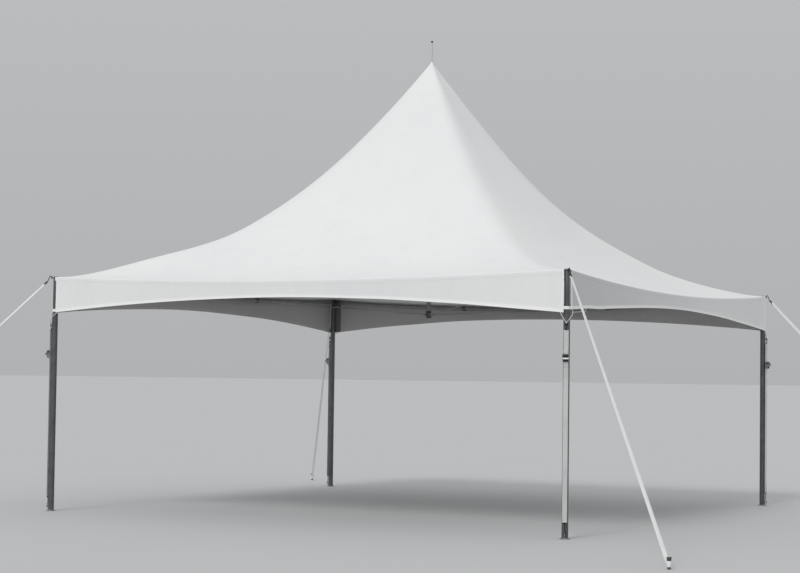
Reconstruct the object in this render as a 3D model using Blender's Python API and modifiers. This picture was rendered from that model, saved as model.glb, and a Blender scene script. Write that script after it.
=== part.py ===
# Square high-peak marquee: four legs, a tubular eave frame, a mast carried on crossed cables,
# one canopy of four sewn gores with arched valances, and straps that hold the corners down.
# Metres, +Z up. The origin is on the ground at the centre; the front faces -Y, the right +X.
import bpy
import bmesh
from math import atan2, cos, hypot, pi, radians, sin, sqrt
from mathutils import Matrix, Vector

TOUCH = 0.0003              # gap kept between pieces that touch

# canopy
SIDE = 6.096                # between leg axes, along one side
CORNER_HEIGHT = 2.565       # top of the canopy beside each leg
PEAK_RISE = 2.635           # from there to where the four hip seams would meet
SAG_POWER = 2.05            # how deeply the hip seams sag between peak and corner
SIDE_BULGE = 0.04           # how far a gore swells out between its hip seams, near the peak
DIP_REACH = 6.0             # how quickly the eave's dip dies out up the slope
SKIN = 0.008                # canopy, measured straight down
EAVE_DIP = {"front": 0.07, "right": 0.115, "back": 0.115, "left": 0.07}
VALANCE = 0.006             # valance sheet
VALANCE_DEPTH = 0.400       # from the canopy's top to the valance's lower edge, at the legs
HEM_ARCH = 0.15             # how much higher that edge is in mid-span
EAVE_OUT = 0.036            # how far outside the leg axes the canopy's edge and the valances hang
VALANCE_END = 0.018         # how far short of a leg's axis each of them ends, along its side
GORE_ROWS = 14
GORE_COLUMNS = 12
VALANCE_COLUMNS = 24

# frame
LEG_RADIUS = 0.03175
LEG_DROP = 0.010            # leg's top, below the valances' corners
FOOT_RADIUS = 0.050
FOOT_THICKNESS = 0.008
POST_RADIUS = 0.0254        # upper post that stands out of the leg beside the valances
POST_ROUND = 0.010          # rounding of its top edge
RAIL_RADIUS = 0.0254
RAIL_INSET = 0.040          # rail's axis, inward of the leg's axis
RAIL_DROP = 0.002           # room between the sleeves and the canopy's flat facets
RAIL_POINTS = 13
SLEEVE_RADIUS = 0.0275
SLEEVE_LENGTH = 0.130       # from the leg's axis to where the rail starts
SLEEVE_PAST = 0.030         # how far a sleeve runs on past the other sleeve's axis
COLLAR_RADIUS = 0.0300      # rail joints, a third of a side apart
COLLAR_LENGTH = 0.060
RING_RADIUS = 0.014         # welded rings that the hooks go through, to the wire's middle
RING_WIRE = 0.004
RING_FACETS = 0.0007        # how much further a hook seats, because the ring's facets are flat
GUY_RING_DROP = 0.014       # guy ring's middle, below the canopy's corner
FOOT_RING_HEIGHT = 0.040

# mast
MAST_RADIUS = 0.024
HUB_RADIUS = 0.031
HUB_DROP = 0.265            # mast foot's underside, below the cables' outer ends
HUB_HEIGHT = 0.080
PEAK_PLAY = 0.0005          # room round the finial where it goes through the canopy
FINIAL_RADIUS = 0.011
FINIAL_REACH = 0.245        # how far its tip stands above the hip seams' meeting point
FINIAL_CAP_RADIUS = 0.0125
FINIAL_CAP_HEIGHT = 0.020
FINIAL_COLLAR_RADIUS = 0.018
FINIAL_COLLAR_HEIGHT = 0.020
CABLE_RADIUS = 0.005
SOCKET_RADIUS = 0.008
SOCKET_LENGTH = 0.070
SOCKET_TAPER = 0.006
CABLE_DROP = 0.100          # where the cables leave the corner brackets, below the canopy's corner
LUG_REACH = 0.105           # cable lug, inward from the leg's axis
LUG_WIDTH = 0.024
LUG_HEIGHT = 0.034

# straps
WEBBING_WIDTH = 0.048
WEBBING = 0.003
HOOK_WIRE = 0.0035
HOOK_LENGTH = 0.083         # guy hook, from the ring to the webbing
HOOK_SEAT = 0.0065          # where its wire passes inside the level guy ring, from the ring's middle
HOOK_ARC = 0.016            # bend of the hook over the ring
HOOK_NECK = 0.009           # height of that bend's middle, above the ring
HOOK_TURN = 160.0           # degrees of the bend
HOOK_TAIL = 0.012           # bare end of the wire, past the ring
HOOK_CLEAR = 0.003          # room between the bent wire and the ring's wire
HOOK_RISE = 0.006           # how far past the ring the wire bends back
FERRULE_RADIUS = 0.0075     # where a hook's wire enters the webbing
FERRULE_LENGTH = 0.024
STAKE_SPOTS = {"front_right": (1.852, 2.202), "front_left": (1.852, 1.852),
               "back_left": (1.012, 1.212), "back_right": (1.852, 2.202)}   # out from each leg
STAKE_RADIUS = 0.014
STAKE_HEIGHT = 0.100
STAKE_HEAD_RADIUS = 0.021
STAKE_HEAD_HEIGHT = 0.018
STAKE_HEAD_ROUND = 0.006
LOOP_RADIUS = 0.0185        # webbing loop round the stake
LOOP_MIDDLE = 0.044
GUY_POINTS = 18
HOOK_POINTS = 6
GUY_TURNS = {"front_right": (-14.0, -24.0), "front_left": (0.0, -16.0),
             "back_left": (-35.0, -20.0), "back_right": (-14.0, -16.0)}
                            # degrees: the webbing's lean at the stake, its turn from there up
STRAP_STANDOFF = 0.046      # hold-down strap's middle, from the leg's axis
STRAP_DROP = 0.050          # its top, below the bridle's ring
STRAP_BOTTOM = 0.150
BRIDLE_RADIUS = 0.003
BRIDLE_ALONG = 0.050        # where the cords leave the valances, along each side from the leg's axis
BRIDLE_DROP = 0.130         # bridle's ring, below the valances' corners
BRIDLE_POINTS = 6
STRAP_TURN = {"front_right": -27.0, "front_left": -45.0, "back_left": 45.0, "back_right": -45.0}

# ratchet, in the strap's own frame: x out from the leg's axis, y across, z up from the spool
SPOOL_OUT = 0.066
SPOOL_HEIGHT = 1.735
SPOOL_RADIUS = 0.006
ROLL_RADIUS = 0.013
FRAME_BELOW = 0.063         # how far the frame reaches below the spool's axis
FRAME_ABOVE = 0.021
FRAME_BACK = 0.040
FRAME_FRONT = 0.078
PLATE = 0.003
PLATE_INNER = 0.0265        # half the clear width between the frame's side plates
BACK_PLATE_BELOW = 0.055
BACK_PLATE_HEIGHT = 0.042
ANCHOR_RADIUS = 0.005
ANCHOR_OUT = 0.062
ANCHOR_BELOW = 0.047
ARM_INNER = 0.0312          # half the clear width between the handle's arms
ARM = 0.0025
ARM_ROOT = 0.011
GRIP_RADIUS = 0.006
GRIP_OUT = 0.026            # grip's middle from the spool's axis
GRIP_DROP = 0.027

HALF = SIDE / 2
EAVE = HALF + EAVE_OUT
DIAGONAL = HALF * sqrt(2)
HEM_CORNER = CORNER_HEIGHT - VALANCE_DEPTH
FINIAL_TOP = CORNER_HEIGHT + PEAK_RISE + FINIAL_REACH
LEG_TOP = HEM_CORNER - LEG_DROP
GUY_RING_HEIGHT = CORNER_HEIGHT - GUY_RING_DROP
CABLE_HEIGHT = CORNER_HEIGHT - CABLE_DROP
HUB_BOTTOM = CABLE_HEIGHT - HUB_DROP
BRIDLE_RING_HEIGHT = HEM_CORNER - BRIDLE_DROP
STRAP_TOP = BRIDLE_RING_HEIGHT - STRAP_DROP
CORNERS = {"front_right": (1, -1), "front_left": (-1, -1), "back_left": (-1, 1), "back_right": (1, 1)}
SIDES = {"front": -90.0, "right": 0.0, "back": 90.0, "left": 180.0}
CORNER_CUT = sqrt(2) * (POST_RADIUS + TOUCH)    # canopy's corner is cut off to clear the post
PEAK_HOLE = FINIAL_RADIUS + PEAK_PLAY           # half the opening at the peak


def eave_height(side, along):
    """Top of the canopy above the leg axes, at a distance along the side from its middle."""
    return CORNER_HEIGHT - EAVE_DIP[side] * (1 - (along / HALF) ** 2)


def hem_height(along):
    """Lower edge of a valance."""
    return HEM_CORNER + HEM_ARCH * (1 - (along / HALF) ** 2)


def canopy_height(side, out, along):
    """Top of a gore at a distance out from the centre and along its side."""
    share = along / out
    reach = min(1.0, out / HALF)
    swell = SIDE_BULGE * (1 - reach) * (1 - share ** 2)
    rise = max(0.0, 1 - reach * (1 - swell)) ** SAG_POWER
    dip = EAVE_DIP[side] * (1 - share ** 2) * reach ** DIP_REACH
    return CORNER_HEIGHT + PEAK_RISE * rise - dip


def rail_height(side, along):
    """Axis of the eave rail, hung so that the sleeves just clear the canopy."""
    return eave_height(side, along) - SKIN - RAIL_DROP - SLEEVE_RADIUS


def clear_scene():
    for obj in list(bpy.data.objects):
        bpy.data.objects.remove(obj, do_unlink=True)
    for collection in list(bpy.data.collections):
        bpy.data.collections.remove(collection)


clear_scene()
parts = bpy.data.collections.new("marquee_tent")
bpy.context.scene.collection.children.link(parts)
guides = bpy.data.collections.new("guides")
bpy.context.scene.collection.children.link(guides)


def make_material(name, colour, roughness, metallic):
    material = bpy.data.materials.new(name)
    material.use_nodes = True
    shader = material.node_tree.nodes["Principled BSDF"]
    shader.inputs["Base Color"].default_value = (*colour, 1.0)
    shader.inputs["Roughness"].default_value = roughness
    shader.inputs["Metallic"].default_value = metallic
    material.diffuse_color = (*colour, 1.0)
    return material


VINYL = make_material("white_vinyl", (0.86, 0.86, 0.86), 0.45, 0.0)
ALUMINIUM = make_material("aluminium", (0.42, 0.43, 0.44), 0.38, 1.0)
CASTING = make_material("cast_bracket", (0.16, 0.16, 0.17), 0.50, 0.8)
CABLE = make_material("steel_cable", (0.30, 0.31, 0.32), 0.40, 1.0)
WEB = make_material("white_webbing", (0.80, 0.80, 0.78), 0.85, 0.0)
ZINC = make_material("zinc_steel", (0.50, 0.50, 0.50), 0.35, 1.0)
STEEL = make_material("dark_steel", (0.13, 0.13, 0.13), 0.55, 0.7)
DARK = make_material("dark_cap", (0.05, 0.05, 0.05), 0.50, 0.0)


def add_object(name, mesh, material=None):
    obj = bpy.data.objects.new(name, mesh)
    parts.objects.link(obj)
    if material:
        mesh.materials.clear()
        mesh.materials.append(material)
    return obj


def from_bmesh(bm, name):
    bm.normal_update()
    bmesh.ops.recalc_face_normals(bm, faces=bm.faces)
    mesh = bpy.data.meshes.new(name)
    bm.to_mesh(mesh)
    bm.free()
    return add_object(name, mesh)


def soften(obj, angle=35.0):
    obj.data.shade_smooth()
    obj.data.set_sharp_from_angle(angle=radians(angle))
    return obj


def frozen(obj):
    """Replace an object's mesh by its evaluated one and drop the modifiers."""
    graph = bpy.context.evaluated_depsgraph_get()
    mesh = bpy.data.meshes.new_from_object(obj.evaluated_get(graph))
    obj.modifiers.clear()
    obj.data = mesh
    bm = bmesh.new()
    bm.from_mesh(mesh)
    bmesh.ops.remove_doubles(bm, verts=bm.verts, dist=0.000002)
    bmesh.ops.dissolve_degenerate(bm, edges=bm.edges, dist=0.000001)
    bm.to_mesh(mesh)
    bm.free()
    return obj


def fuse(name, pieces, material):
    """Join overlapping closed pieces into one body."""
    body = pieces[0]
    for piece in pieces[1:]:
        union = body.modifiers.new("fuse", "BOOLEAN")
        union.operation = "UNION"
        union.solver = "EXACT"
        union.object = piece
        frozen(body)
        bpy.data.objects.remove(piece, do_unlink=True)
    body.name = name
    body.data.name = name
    body.data.materials.clear()
    body.data.materials.append(material)
    return soften(body)


def rod(start, end, radius, sides=16, bevel=0.0, spin=0.0):
    """A closed round bar between two points, its facets turned by spin about its axis."""
    start, end = Vector(start), Vector(end)
    length = (end - start).length
    bm = bmesh.new()
    bmesh.ops.create_cone(bm, cap_ends=True, segments=sides, radius1=radius, radius2=radius,
                          depth=length)
    bm.transform(Matrix.Rotation(spin, 4, "Z"))
    if bevel:
        rim = [e for e in bm.edges if all(v.co.z > length / 2 - 1e-6 for v in e.verts)]
        bmesh.ops.bevel(bm, geom=rim, offset=bevel, segments=2, profile=0.5, affect="EDGES")
    turn = (end - start).to_track_quat("Z", "Y").to_matrix().to_4x4()
    bm.transform(Matrix.Translation((start + end) / 2) @ turn)
    return from_bmesh(bm, "rod")


def box(low, high):
    low, high = Vector(low), Vector(high)
    bm = bmesh.new()
    bmesh.ops.create_cube(bm, size=1.0)
    bm.transform(Matrix.Translation((low + high) / 2) @ Matrix.Diagonal((*(high - low), 1.0)))
    return from_bmesh(bm, "box")


def ring(centre, axis, radius=RING_RADIUS, wire=RING_WIRE, turns=12, sides=6):
    """A torus about an axis: a circle of wire turned with a Screw modifier."""
    mesh = bpy.data.meshes.new("ring")
    bm = bmesh.new()
    bmesh.ops.create_circle(bm, cap_ends=False, segments=sides, radius=wire)
    bm.transform(Matrix.Translation((radius, 0, 0)) @ Matrix.Rotation(-pi / 2, 4, "X"))
    bm.to_mesh(mesh)
    bm.free()
    obj = add_object("ring", mesh)
    screw = obj.modifiers.new("turn", "SCREW")
    screw.steps = screw.render_steps = turns
    screw.use_merge_vertices = True
    screw.merge_threshold = 0.0001
    frozen(obj)
    turn = Vector(axis).to_track_quat("Z", "Y").to_matrix().to_4x4()
    obj.data.transform(Matrix.Translation(centre) @ turn)
    return outward(obj)


def outward(obj):
    bm = bmesh.new()
    bm.from_mesh(obj.data)
    bm.normal_update()
    bmesh.ops.recalc_face_normals(bm, faces=bm.faces)
    bm.to_mesh(obj.data)
    bm.free()
    return obj


def turned(name, profile, material, sides=20):
    """A closed solid turned about Z from (radius, height) points, bottom to top, both on the axis."""
    mesh = bpy.data.meshes.new(name)
    bm = bmesh.new()
    verts = [bm.verts.new((radius, 0, height)) for radius, height in profile]
    for a, b in zip(verts, verts[1:]):
        bm.edges.new((a, b))
    bm.to_mesh(mesh)
    bm.free()
    obj = add_object(name, mesh, material)
    screw = obj.modifiers.new("turn", "SCREW")
    screw.steps = screw.render_steps = sides
    screw.use_merge_vertices = True
    screw.merge_threshold = 0.00001
    frozen(obj)
    return soften(outward(obj))


def sweep(points, radius, factors=None, tilts=None, profile=None, twist="Z_UP"):
    """A wire or band along points, as a closed mesh."""
    curve = bpy.data.curves.new("sweep", "CURVE")
    curve.dimensions = "3D"
    curve.twist_mode = twist
    if profile:
        curve.bevel_mode = "OBJECT"
        curve.bevel_object = profile
    else:
        curve.bevel_depth = radius
        curve.bevel_resolution = 2
    curve.use_fill_caps = True
    spline = curve.splines.new("POLY")
    spline.points.add(len(points) - 1)
    for i, point in enumerate(points):
        spline.points[i].co = (*point, 1.0)
        if factors:
            spline.points[i].radius = factors[i]
        if tilts:
            spline.points[i].tilt = tilts[i]
    path = add_object("path", curve)
    graph = bpy.context.evaluated_depsgraph_get()
    mesh = bpy.data.meshes.new_from_object(path.evaluated_get(graph))
    bpy.data.objects.remove(path, do_unlink=True)
    bm = bmesh.new()
    bm.from_mesh(mesh)
    bmesh.ops.remove_doubles(bm, verts=bm.verts, dist=0.00001)
    bpy.data.meshes.remove(mesh)
    return from_bmesh(bm, "sweep")


def hook_points(centre, pull, side, length, tail=HOOK_TAIL):
    """A wire that passes through a ring, bends round its rim and leaves along the pull."""
    centre, pull, side = Vector(centre), Vector(pull).normalized(), Vector(side).normalized()
    seat = RING_RADIUS - RING_WIRE + RING_FACETS - TOUCH - HOOK_WIRE
    clear = RING_WIRE + HOOK_WIRE + HOOK_CLEAR
    rim = RING_RADIUS + RING_WIRE + HOOK_RISE
    steps = [(seat, -tail), (seat, clear), (rim, clear + HOOK_CLEAR / 2),
             ((rim + length) / 2, 0.6 * clear), (length, 0.0)]
    return [centre + pull * a + side * b for a, b in steps]


def place(obj, angle, corner=None):
    """Turn an object about Z and stand it on a corner's leg axis, or leave it at the centre."""
    obj.rotation_euler = (0, 0, angle)
    if corner:
        sx, sy = CORNERS[corner]
        obj.location = (sx * HALF, sy * HALF, 0)
    return obj


def outward_angle(corner):
    sx, sy = CORNERS[corner]
    return atan2(sy, sx)


def strap_angle(corner):
    return outward_angle(corner) + radians(STRAP_TURN[corner])


def copies(first, name, places):
    """Place a finished piece at each corner, sharing its mesh."""
    for number, (corner, angle, at_leg) in enumerate(places):
        obj = first if number == 0 else add_object(f"{name}_{corner}", first.data)
        obj.name = f"{name}_{corner}"
        place(obj, angle, corner if at_leg else None)


# canopy

def surface(columns, rows, shape, depth):
    """A grid whose points come from shape(u, v), u -1 to 1 and v 0 to 1, thickened along depth."""
    bm = bmesh.new()
    bmesh.ops.create_grid(bm, x_segments=columns, y_segments=rows, size=1.0)
    for vert in bm.verts:
        vert.co = shape(vert.co.x, (vert.co.y + 1) / 2)
    top = list(bm.faces)
    made = bmesh.ops.extrude_face_region(bm, geom=top)["geom"]
    moved = [item for item in made if isinstance(item, bmesh.types.BMVert)]
    bmesh.ops.translate(bm, verts=moved, vec=depth)
    return from_bmesh(bm, "surface")


def make_gore(side):
    """One quarter of the canopy, worked out as if it faced +X and then turned to its side."""
    cut_start = HALF - CORNER_CUT / 2
    outs = [PEAK_HOLE + (cut_start - PEAK_HOLE) * i / (GORE_ROWS - 1) for i in range(GORE_ROWS)]
    stations = [(out, out - TOUCH) for out in outs]
    stations += [(HALF, HALF - CORNER_CUT), (EAVE, HALF - VALANCE_END)]

    def shape(u, v):
        out, reach = stations[round(v * (len(stations) - 1))]
        along = u * reach
        return Vector((out, along, canopy_height(side, out, along)))

    gore = surface(GORE_COLUMNS, len(stations) - 1, shape, (0, 0, -SKIN))
    gore.name = f"roof_{side}"
    gore.data.materials.append(VINYL)
    place(soften(gore, 50), radians(SIDES[side]))


def make_valance(side):
    half_width = HALF - VALANCE_END

    def shape(u, v):
        along = u * half_width
        top = canopy_height(side, EAVE, along) - SKIN - TOUCH
        hem = hem_height(along)
        return Vector((EAVE, along, hem + (top - hem) * v))

    valance = surface(VALANCE_COLUMNS, 1, shape, (-VALANCE, 0, 0))
    valance.name = f"valance_{side}"
    valance.data.materials.append(VINYL)
    place(valance, radians(SIDES[side]))


# frame

def make_rail(side):
    """An eave tube that follows the dip, with its two joint collars as thicker stretches."""
    end = HALF - SLEEVE_LENGTH
    joints = [-HALF / 3, HALF / 3]
    stations = [(end * (2 * i / (RAIL_POINTS - 1) - 1), 1.0) for i in range(RAIL_POINTS)]
    stations = [s for s in stations if all(abs(s[0] - j) > COLLAR_LENGTH for j in joints)]
    thick = COLLAR_RADIUS / RAIL_RADIUS
    for joint in joints:
        for offset in (-COLLAR_LENGTH / 2, COLLAR_LENGTH / 2):
            step = 0.001 if offset < 0 else -0.001
            stations += [(joint + offset, 1.0), (joint + offset + step, thick)]
    stations.sort()
    points = [(HALF - RAIL_INSET, along, rail_height(side, along)) for along, _ in stations]
    rail = sweep(points, RAIL_RADIUS, [factor for _, factor in stations])
    rail.name = f"eave_rail_{side}"
    rail.data.materials.append(ALUMINIUM)
    place(soften(rail), radians(SIDES[side]))


def make_leg():
    tube = rod((0, 0, 0.001), (0, 0, LEG_TOP), LEG_RADIUS, 20)
    foot = rod((0, 0, 0), (0, 0, FOOT_THICKNESS), FOOT_RADIUS, 20)
    eye = ring((LEG_RADIUS + RING_RADIUS - RING_WIRE / 2, 0, FOOT_RING_HEIGHT), (0, 1, 0))
    leg = fuse("leg", [tube, foot, eye], ALUMINIUM)
    copies(leg, "leg", [(corner, strap_angle(corner), True) for corner in CORNERS])


def make_bracket(corner):
    """The upper post, two sleeves for the rails, the cable lug and the guy ring."""
    sx, sy = CORNERS[corner]
    x_side = "front" if sy < 0 else "back"
    y_side = "right" if sx > 0 else "left"
    pieces = [rod((sx * HALF, sy * HALF, LEG_TOP + TOUCH), (sx * HALF, sy * HALF, CORNER_HEIGHT),
                  POST_RADIUS, 20, bevel=POST_ROUND)]
    elbow = HALF - RAIL_INSET
    start = HALF - SLEEVE_LENGTH + TOUCH
    for side, swap in ((x_side, False), (y_side, True)):
        slope = 2 * EAVE_DIP[side] * (HALF - SLEEVE_LENGTH) / HALF ** 2
        near = rail_height(side, HALF - SLEEVE_LENGTH)
        past = elbow + SLEEVE_PAST
        ends = [(start, near), (past, near + slope * (past - start))]
        if swap:
            line = [(sx * elbow, sy * along, height) for along, height in ends]
        else:
            line = [(sx * along, sy * elbow, height) for along, height in ends]
        pieces.append(rod(line[0], line[1], SLEEVE_RADIUS, 16, spin=pi / 16 if swap else 0.0))
    out = Vector((sx, sy, 0)).normalized()
    foot = Vector((sx * HALF, sy * HALF, 0))
    lug = box((-LUG_REACH, -LUG_WIDTH / 2, CABLE_HEIGHT - LUG_HEIGHT / 2),
              (0, LUG_WIDTH / 2, CABLE_HEIGHT + LUG_HEIGHT / 2))
    lug.data.transform(Matrix.Translation(foot) @ Matrix.Rotation(atan2(sy, sx), 4, "Z"))
    pieces.append(lug)
    reach = POST_RADIUS + RING_RADIUS - RING_WIRE / 2
    pieces.append(ring(foot + out * reach + Vector((0, 0, GUY_RING_HEIGHT)), (0, 0, 1)))
    fuse(f"corner_bracket_{corner}", pieces, CASTING)


# mast

def make_mast():
    mast_top = canopy_height("front", MAST_RADIUS, 0) - SKIN - TOUCH
    hub_top = HUB_BOTTOM + HUB_HEIGHT
    turned("mast", [(0, hub_top + TOUCH), (MAST_RADIUS, hub_top + TOUCH), (MAST_RADIUS, mast_top),
                    (0, mast_top)], ALUMINIUM)
    turned("mast_foot", [(0, HUB_BOTTOM), (HUB_RADIUS, HUB_BOTTOM), (HUB_RADIUS, hub_top),
                         (0, hub_top)], CASTING)
    seat = canopy_height("front", PEAK_HOLE, 0) + TOUCH
    cap = FINIAL_TOP - FINIAL_CAP_HEIGHT
    turned("finial", [(0, mast_top + TOUCH), (FINIAL_RADIUS, mast_top + TOUCH), (FINIAL_RADIUS, seat),
                      (FINIAL_COLLAR_RADIUS, seat), (FINIAL_RADIUS, seat + FINIAL_COLLAR_HEIGHT),
                      (FINIAL_RADIUS, cap), (FINIAL_CAP_RADIUS, cap),
                      (FINIAL_CAP_RADIUS, FINIAL_TOP - FINIAL_CAP_HEIGHT / 3), (0, FINIAL_TOP)],
           DARK)


def make_cables():
    """A cable from each bracket's lug down to the mast's foot, with a socket at each end."""
    rise = CABLE_HEIGHT - (HUB_BOTTOM + HUB_HEIGHT / 2)
    inner = HUB_RADIUS
    outer = DIAGONAL - LUG_REACH
    slope = rise / (outer - inner)
    clear = TOUCH + slope * SOCKET_RADIUS
    low = Vector((inner + clear + TOUCH, 0, CABLE_HEIGHT - rise))
    high = Vector((outer - clear, 0, CABLE_HEIGHT))
    step = (high - low).normalized()
    thick = SOCKET_RADIUS / CABLE_RADIUS
    stations = [(0, thick), (SOCKET_LENGTH, thick), (SOCKET_LENGTH + SOCKET_TAPER, 1.0)]
    length = (high - low).length
    stations += [(length - distance, factor) for distance, factor in reversed(stations)]
    points = [low + step * distance for distance, _ in stations]
    cable = sweep(points, CABLE_RADIUS, [factor for _, factor in stations])
    cable.data.materials.append(CABLE)
    soften(cable)
    copies(cable, "mast_cable", [(corner, outward_angle(corner), False) for corner in CORNERS])


# straps

def webbing_profile():
    curve = bpy.data.curves.new("webbing_profile", "CURVE")
    curve.dimensions = "2D"
    spline = curve.splines.new("POLY")
    spline.points.add(3)
    half, thick = WEBBING_WIDTH / 2, WEBBING / 2
    outline = [(-half, -thick), (half, -thick), (half, thick), (-half, thick)]
    for point, (x, y) in zip(spline.points, outline):
        point.co = (x, y, 0, 1)
    spline.use_cyclic_u = True
    profile = bpy.data.objects.new("webbing_profile", curve)
    profile.hide_render = True
    profile.display_type = "WIRE"
    guides.objects.link(profile)
    return profile


def guy_line(corner):
    """The guy ring's middle, and the level angle and distance from there to the corner's stake."""
    sx, sy = CORNERS[corner]
    leg = Vector((sx * HALF, sy * HALF, 0))
    ring_middle = leg + Vector((sx, sy, 0)).normalized() * (POST_RADIUS + RING_RADIUS - RING_WIRE / 2)
    along_x, along_y = STAKE_SPOTS[corner]
    run = leg + Vector((sx * along_x, sy * along_y, 0)) - ring_middle
    return ring_middle, atan2(run.y, run.x), run.length


def make_guy(corner, profile):
    """A twisted webbing strap from the corner's ring to the stake, with a wire hook over the ring."""
    ring_middle, angle, reach = guy_line(corner)
    lean, twist = GUY_TURNS[corner]
    neck = Vector((HOOK_SEAT + HOOK_ARC, 0, GUY_RING_HEIGHT + HOOK_NECK))
    eye = Vector((HOOK_SEAT + HOOK_WIRE, 0, GUY_RING_HEIGHT))
    foot = Vector((reach - (LOOP_RADIUS - WEBBING / 2), 0, LOOP_MIDDLE))
    pull = (foot - eye).normalized()
    top = eye + pull * (HOOK_LENGTH + TOUCH)
    turns = [radians(180.0 - HOOK_TURN * i / HOOK_POINTS) for i in range(HOOK_POINTS + 1)]
    path = [Vector((HOOK_SEAT, 0, GUY_RING_HEIGHT - HOOK_TAIL))]
    path += [neck + Vector((cos(turn), 0, sin(turn))) * HOOK_ARC for turn in turns]
    hook = sweep(path + [eye + pull * HOOK_LENGTH], HOOK_WIRE, twist="MINIMUM")
    ferrule = rod(top - pull * FERRULE_LENGTH / 2, top + pull * FERRULE_LENGTH / 2, FERRULE_RADIUS, 12)
    shares = [i / (GUY_POINTS - 1) for i in range(GUY_POINTS)]
    band = sweep([top.lerp(foot, s) for s in shares], WEBBING, profile=profile,
                 tilts=[radians(lean + twist * (1 - s)) for s in shares])
    loop = rod((reach, 0, LOOP_MIDDLE - WEBBING_WIDTH / 2), (reach, 0, LOOP_MIDDLE + WEBBING_WIDTH / 2),
               LOOP_RADIUS, 20)
    guy = fuse(f"guy_strap_{corner}", [loop, band, ferrule, hook], WEB)
    hole = rod((reach, 0, 0), (reach, 0, STAKE_HEIGHT), STAKE_RADIUS + TOUCH, 20, spin=-angle)
    cut = guy.modifiers.new("stake_hole", "BOOLEAN")
    cut.operation = "DIFFERENCE"
    cut.solver = "EXACT"
    cut.object = hole
    frozen(guy)
    bpy.data.objects.remove(hole, do_unlink=True)
    guy.rotation_euler = (0, 0, angle)
    guy.location = ring_middle


def make_stakes():
    head = STAKE_HEIGHT - STAKE_HEAD_HEIGHT
    profile = [(0, 0), (STAKE_RADIUS, 0), (STAKE_RADIUS, head), (STAKE_HEAD_RADIUS, head),
               (STAKE_HEAD_RADIUS, STAKE_HEIGHT - STAKE_HEAD_ROUND),
               (STAKE_HEAD_RADIUS - STAKE_HEAD_ROUND, STAKE_HEIGHT), (0, STAKE_HEIGHT)]
    stake = turned("stake", profile, STEEL)
    for number, corner in enumerate(CORNERS):
        obj = stake if number == 0 else add_object(f"stake_{corner}", stake.data)
        obj.name = f"stake_{corner}"
        sx, sy = CORNERS[corner]
        along_x, along_y = STAKE_SPOTS[corner]
        obj.location = (sx * (HALF + along_x), sy * (HALF + along_y), 0)


def make_leg_straps():
    """Webbing down the outside of the leg, hooked to the bridle above and the foot ring below."""
    band = box((STRAP_STANDOFF - WEBBING / 2, -WEBBING_WIDTH / 2, STRAP_BOTTOM),
               (STRAP_STANDOFF + WEBBING / 2, WEBBING_WIDTH / 2, STRAP_TOP))
    ring_out = LEG_RADIUS + RING_RADIUS - RING_WIRE / 2
    low_eye = Vector((ring_out, 0, FOOT_RING_HEIGHT))
    high_eye = Vector((STRAP_STANDOFF, 0, BRIDLE_RING_HEIGHT))
    pieces = [band]
    half = Vector((0, 0, FERRULE_LENGTH / 2))
    for eye, side, end, tail in ((low_eye, (0, 1, 0), STRAP_BOTTOM, HOOK_TAIL),
                                 (high_eye, (1, 0, 0), STRAP_TOP, HOOK_TAIL * 2 / 3)):
        middle = Vector((STRAP_STANDOFF, 0, end))
        pieces.append(rod(middle - half, middle + half, FERRULE_RADIUS, 12))
        pull = middle + half * (0.25 if eye.z > end else -0.25) - eye
        pieces.append(sweep(hook_points(eye, pull, side, pull.length, tail), HOOK_WIRE))
    strap = fuse("leg_strap", pieces, WEB)
    copies(strap, "leg_strap", [(corner, strap_angle(corner), True) for corner in CORNERS])


def make_bridle(corner):
    """A cord from each valance's end round the leg to one ring above the strap's hook."""
    pieces = [ring((STRAP_STANDOFF, 0, BRIDLE_RING_HEIGHT), (1, 0, 0))]
    own_turn = radians(STRAP_TURN[corner])
    ring_top = BRIDLE_RING_HEIGHT + RING_RADIUS
    start = hem_height(HALF - BRIDLE_ALONG + BRIDLE_RADIUS) - TOUCH
    standoff = hypot(BRIDLE_ALONG, EAVE_OUT - VALANCE / 2)
    valance_end = radians(135) - atan2(EAVE_OUT - VALANCE / 2, BRIDLE_ALONG)
    for way in (1, -1):
        turn = way * valance_end - own_turn
        points = [Vector((standoff * cos(turn), standoff * sin(turn), start))]
        for i in range(BRIDLE_POINTS + 1):
            share = i / BRIDLE_POINTS
            reach = standoff + (STRAP_STANDOFF - standoff) * share
            angle = turn * (1 - share)
            height = start - BRIDLE_RADIUS + (ring_top - start + BRIDLE_RADIUS) * share
            points.append(Vector((reach * cos(angle), reach * sin(angle), height)))
        pieces.append(sweep(points, BRIDLE_RADIUS, twist="MINIMUM"))
    place(fuse(f"bridle_{corner}", pieces, WEB), strap_angle(corner), corner)


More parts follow.
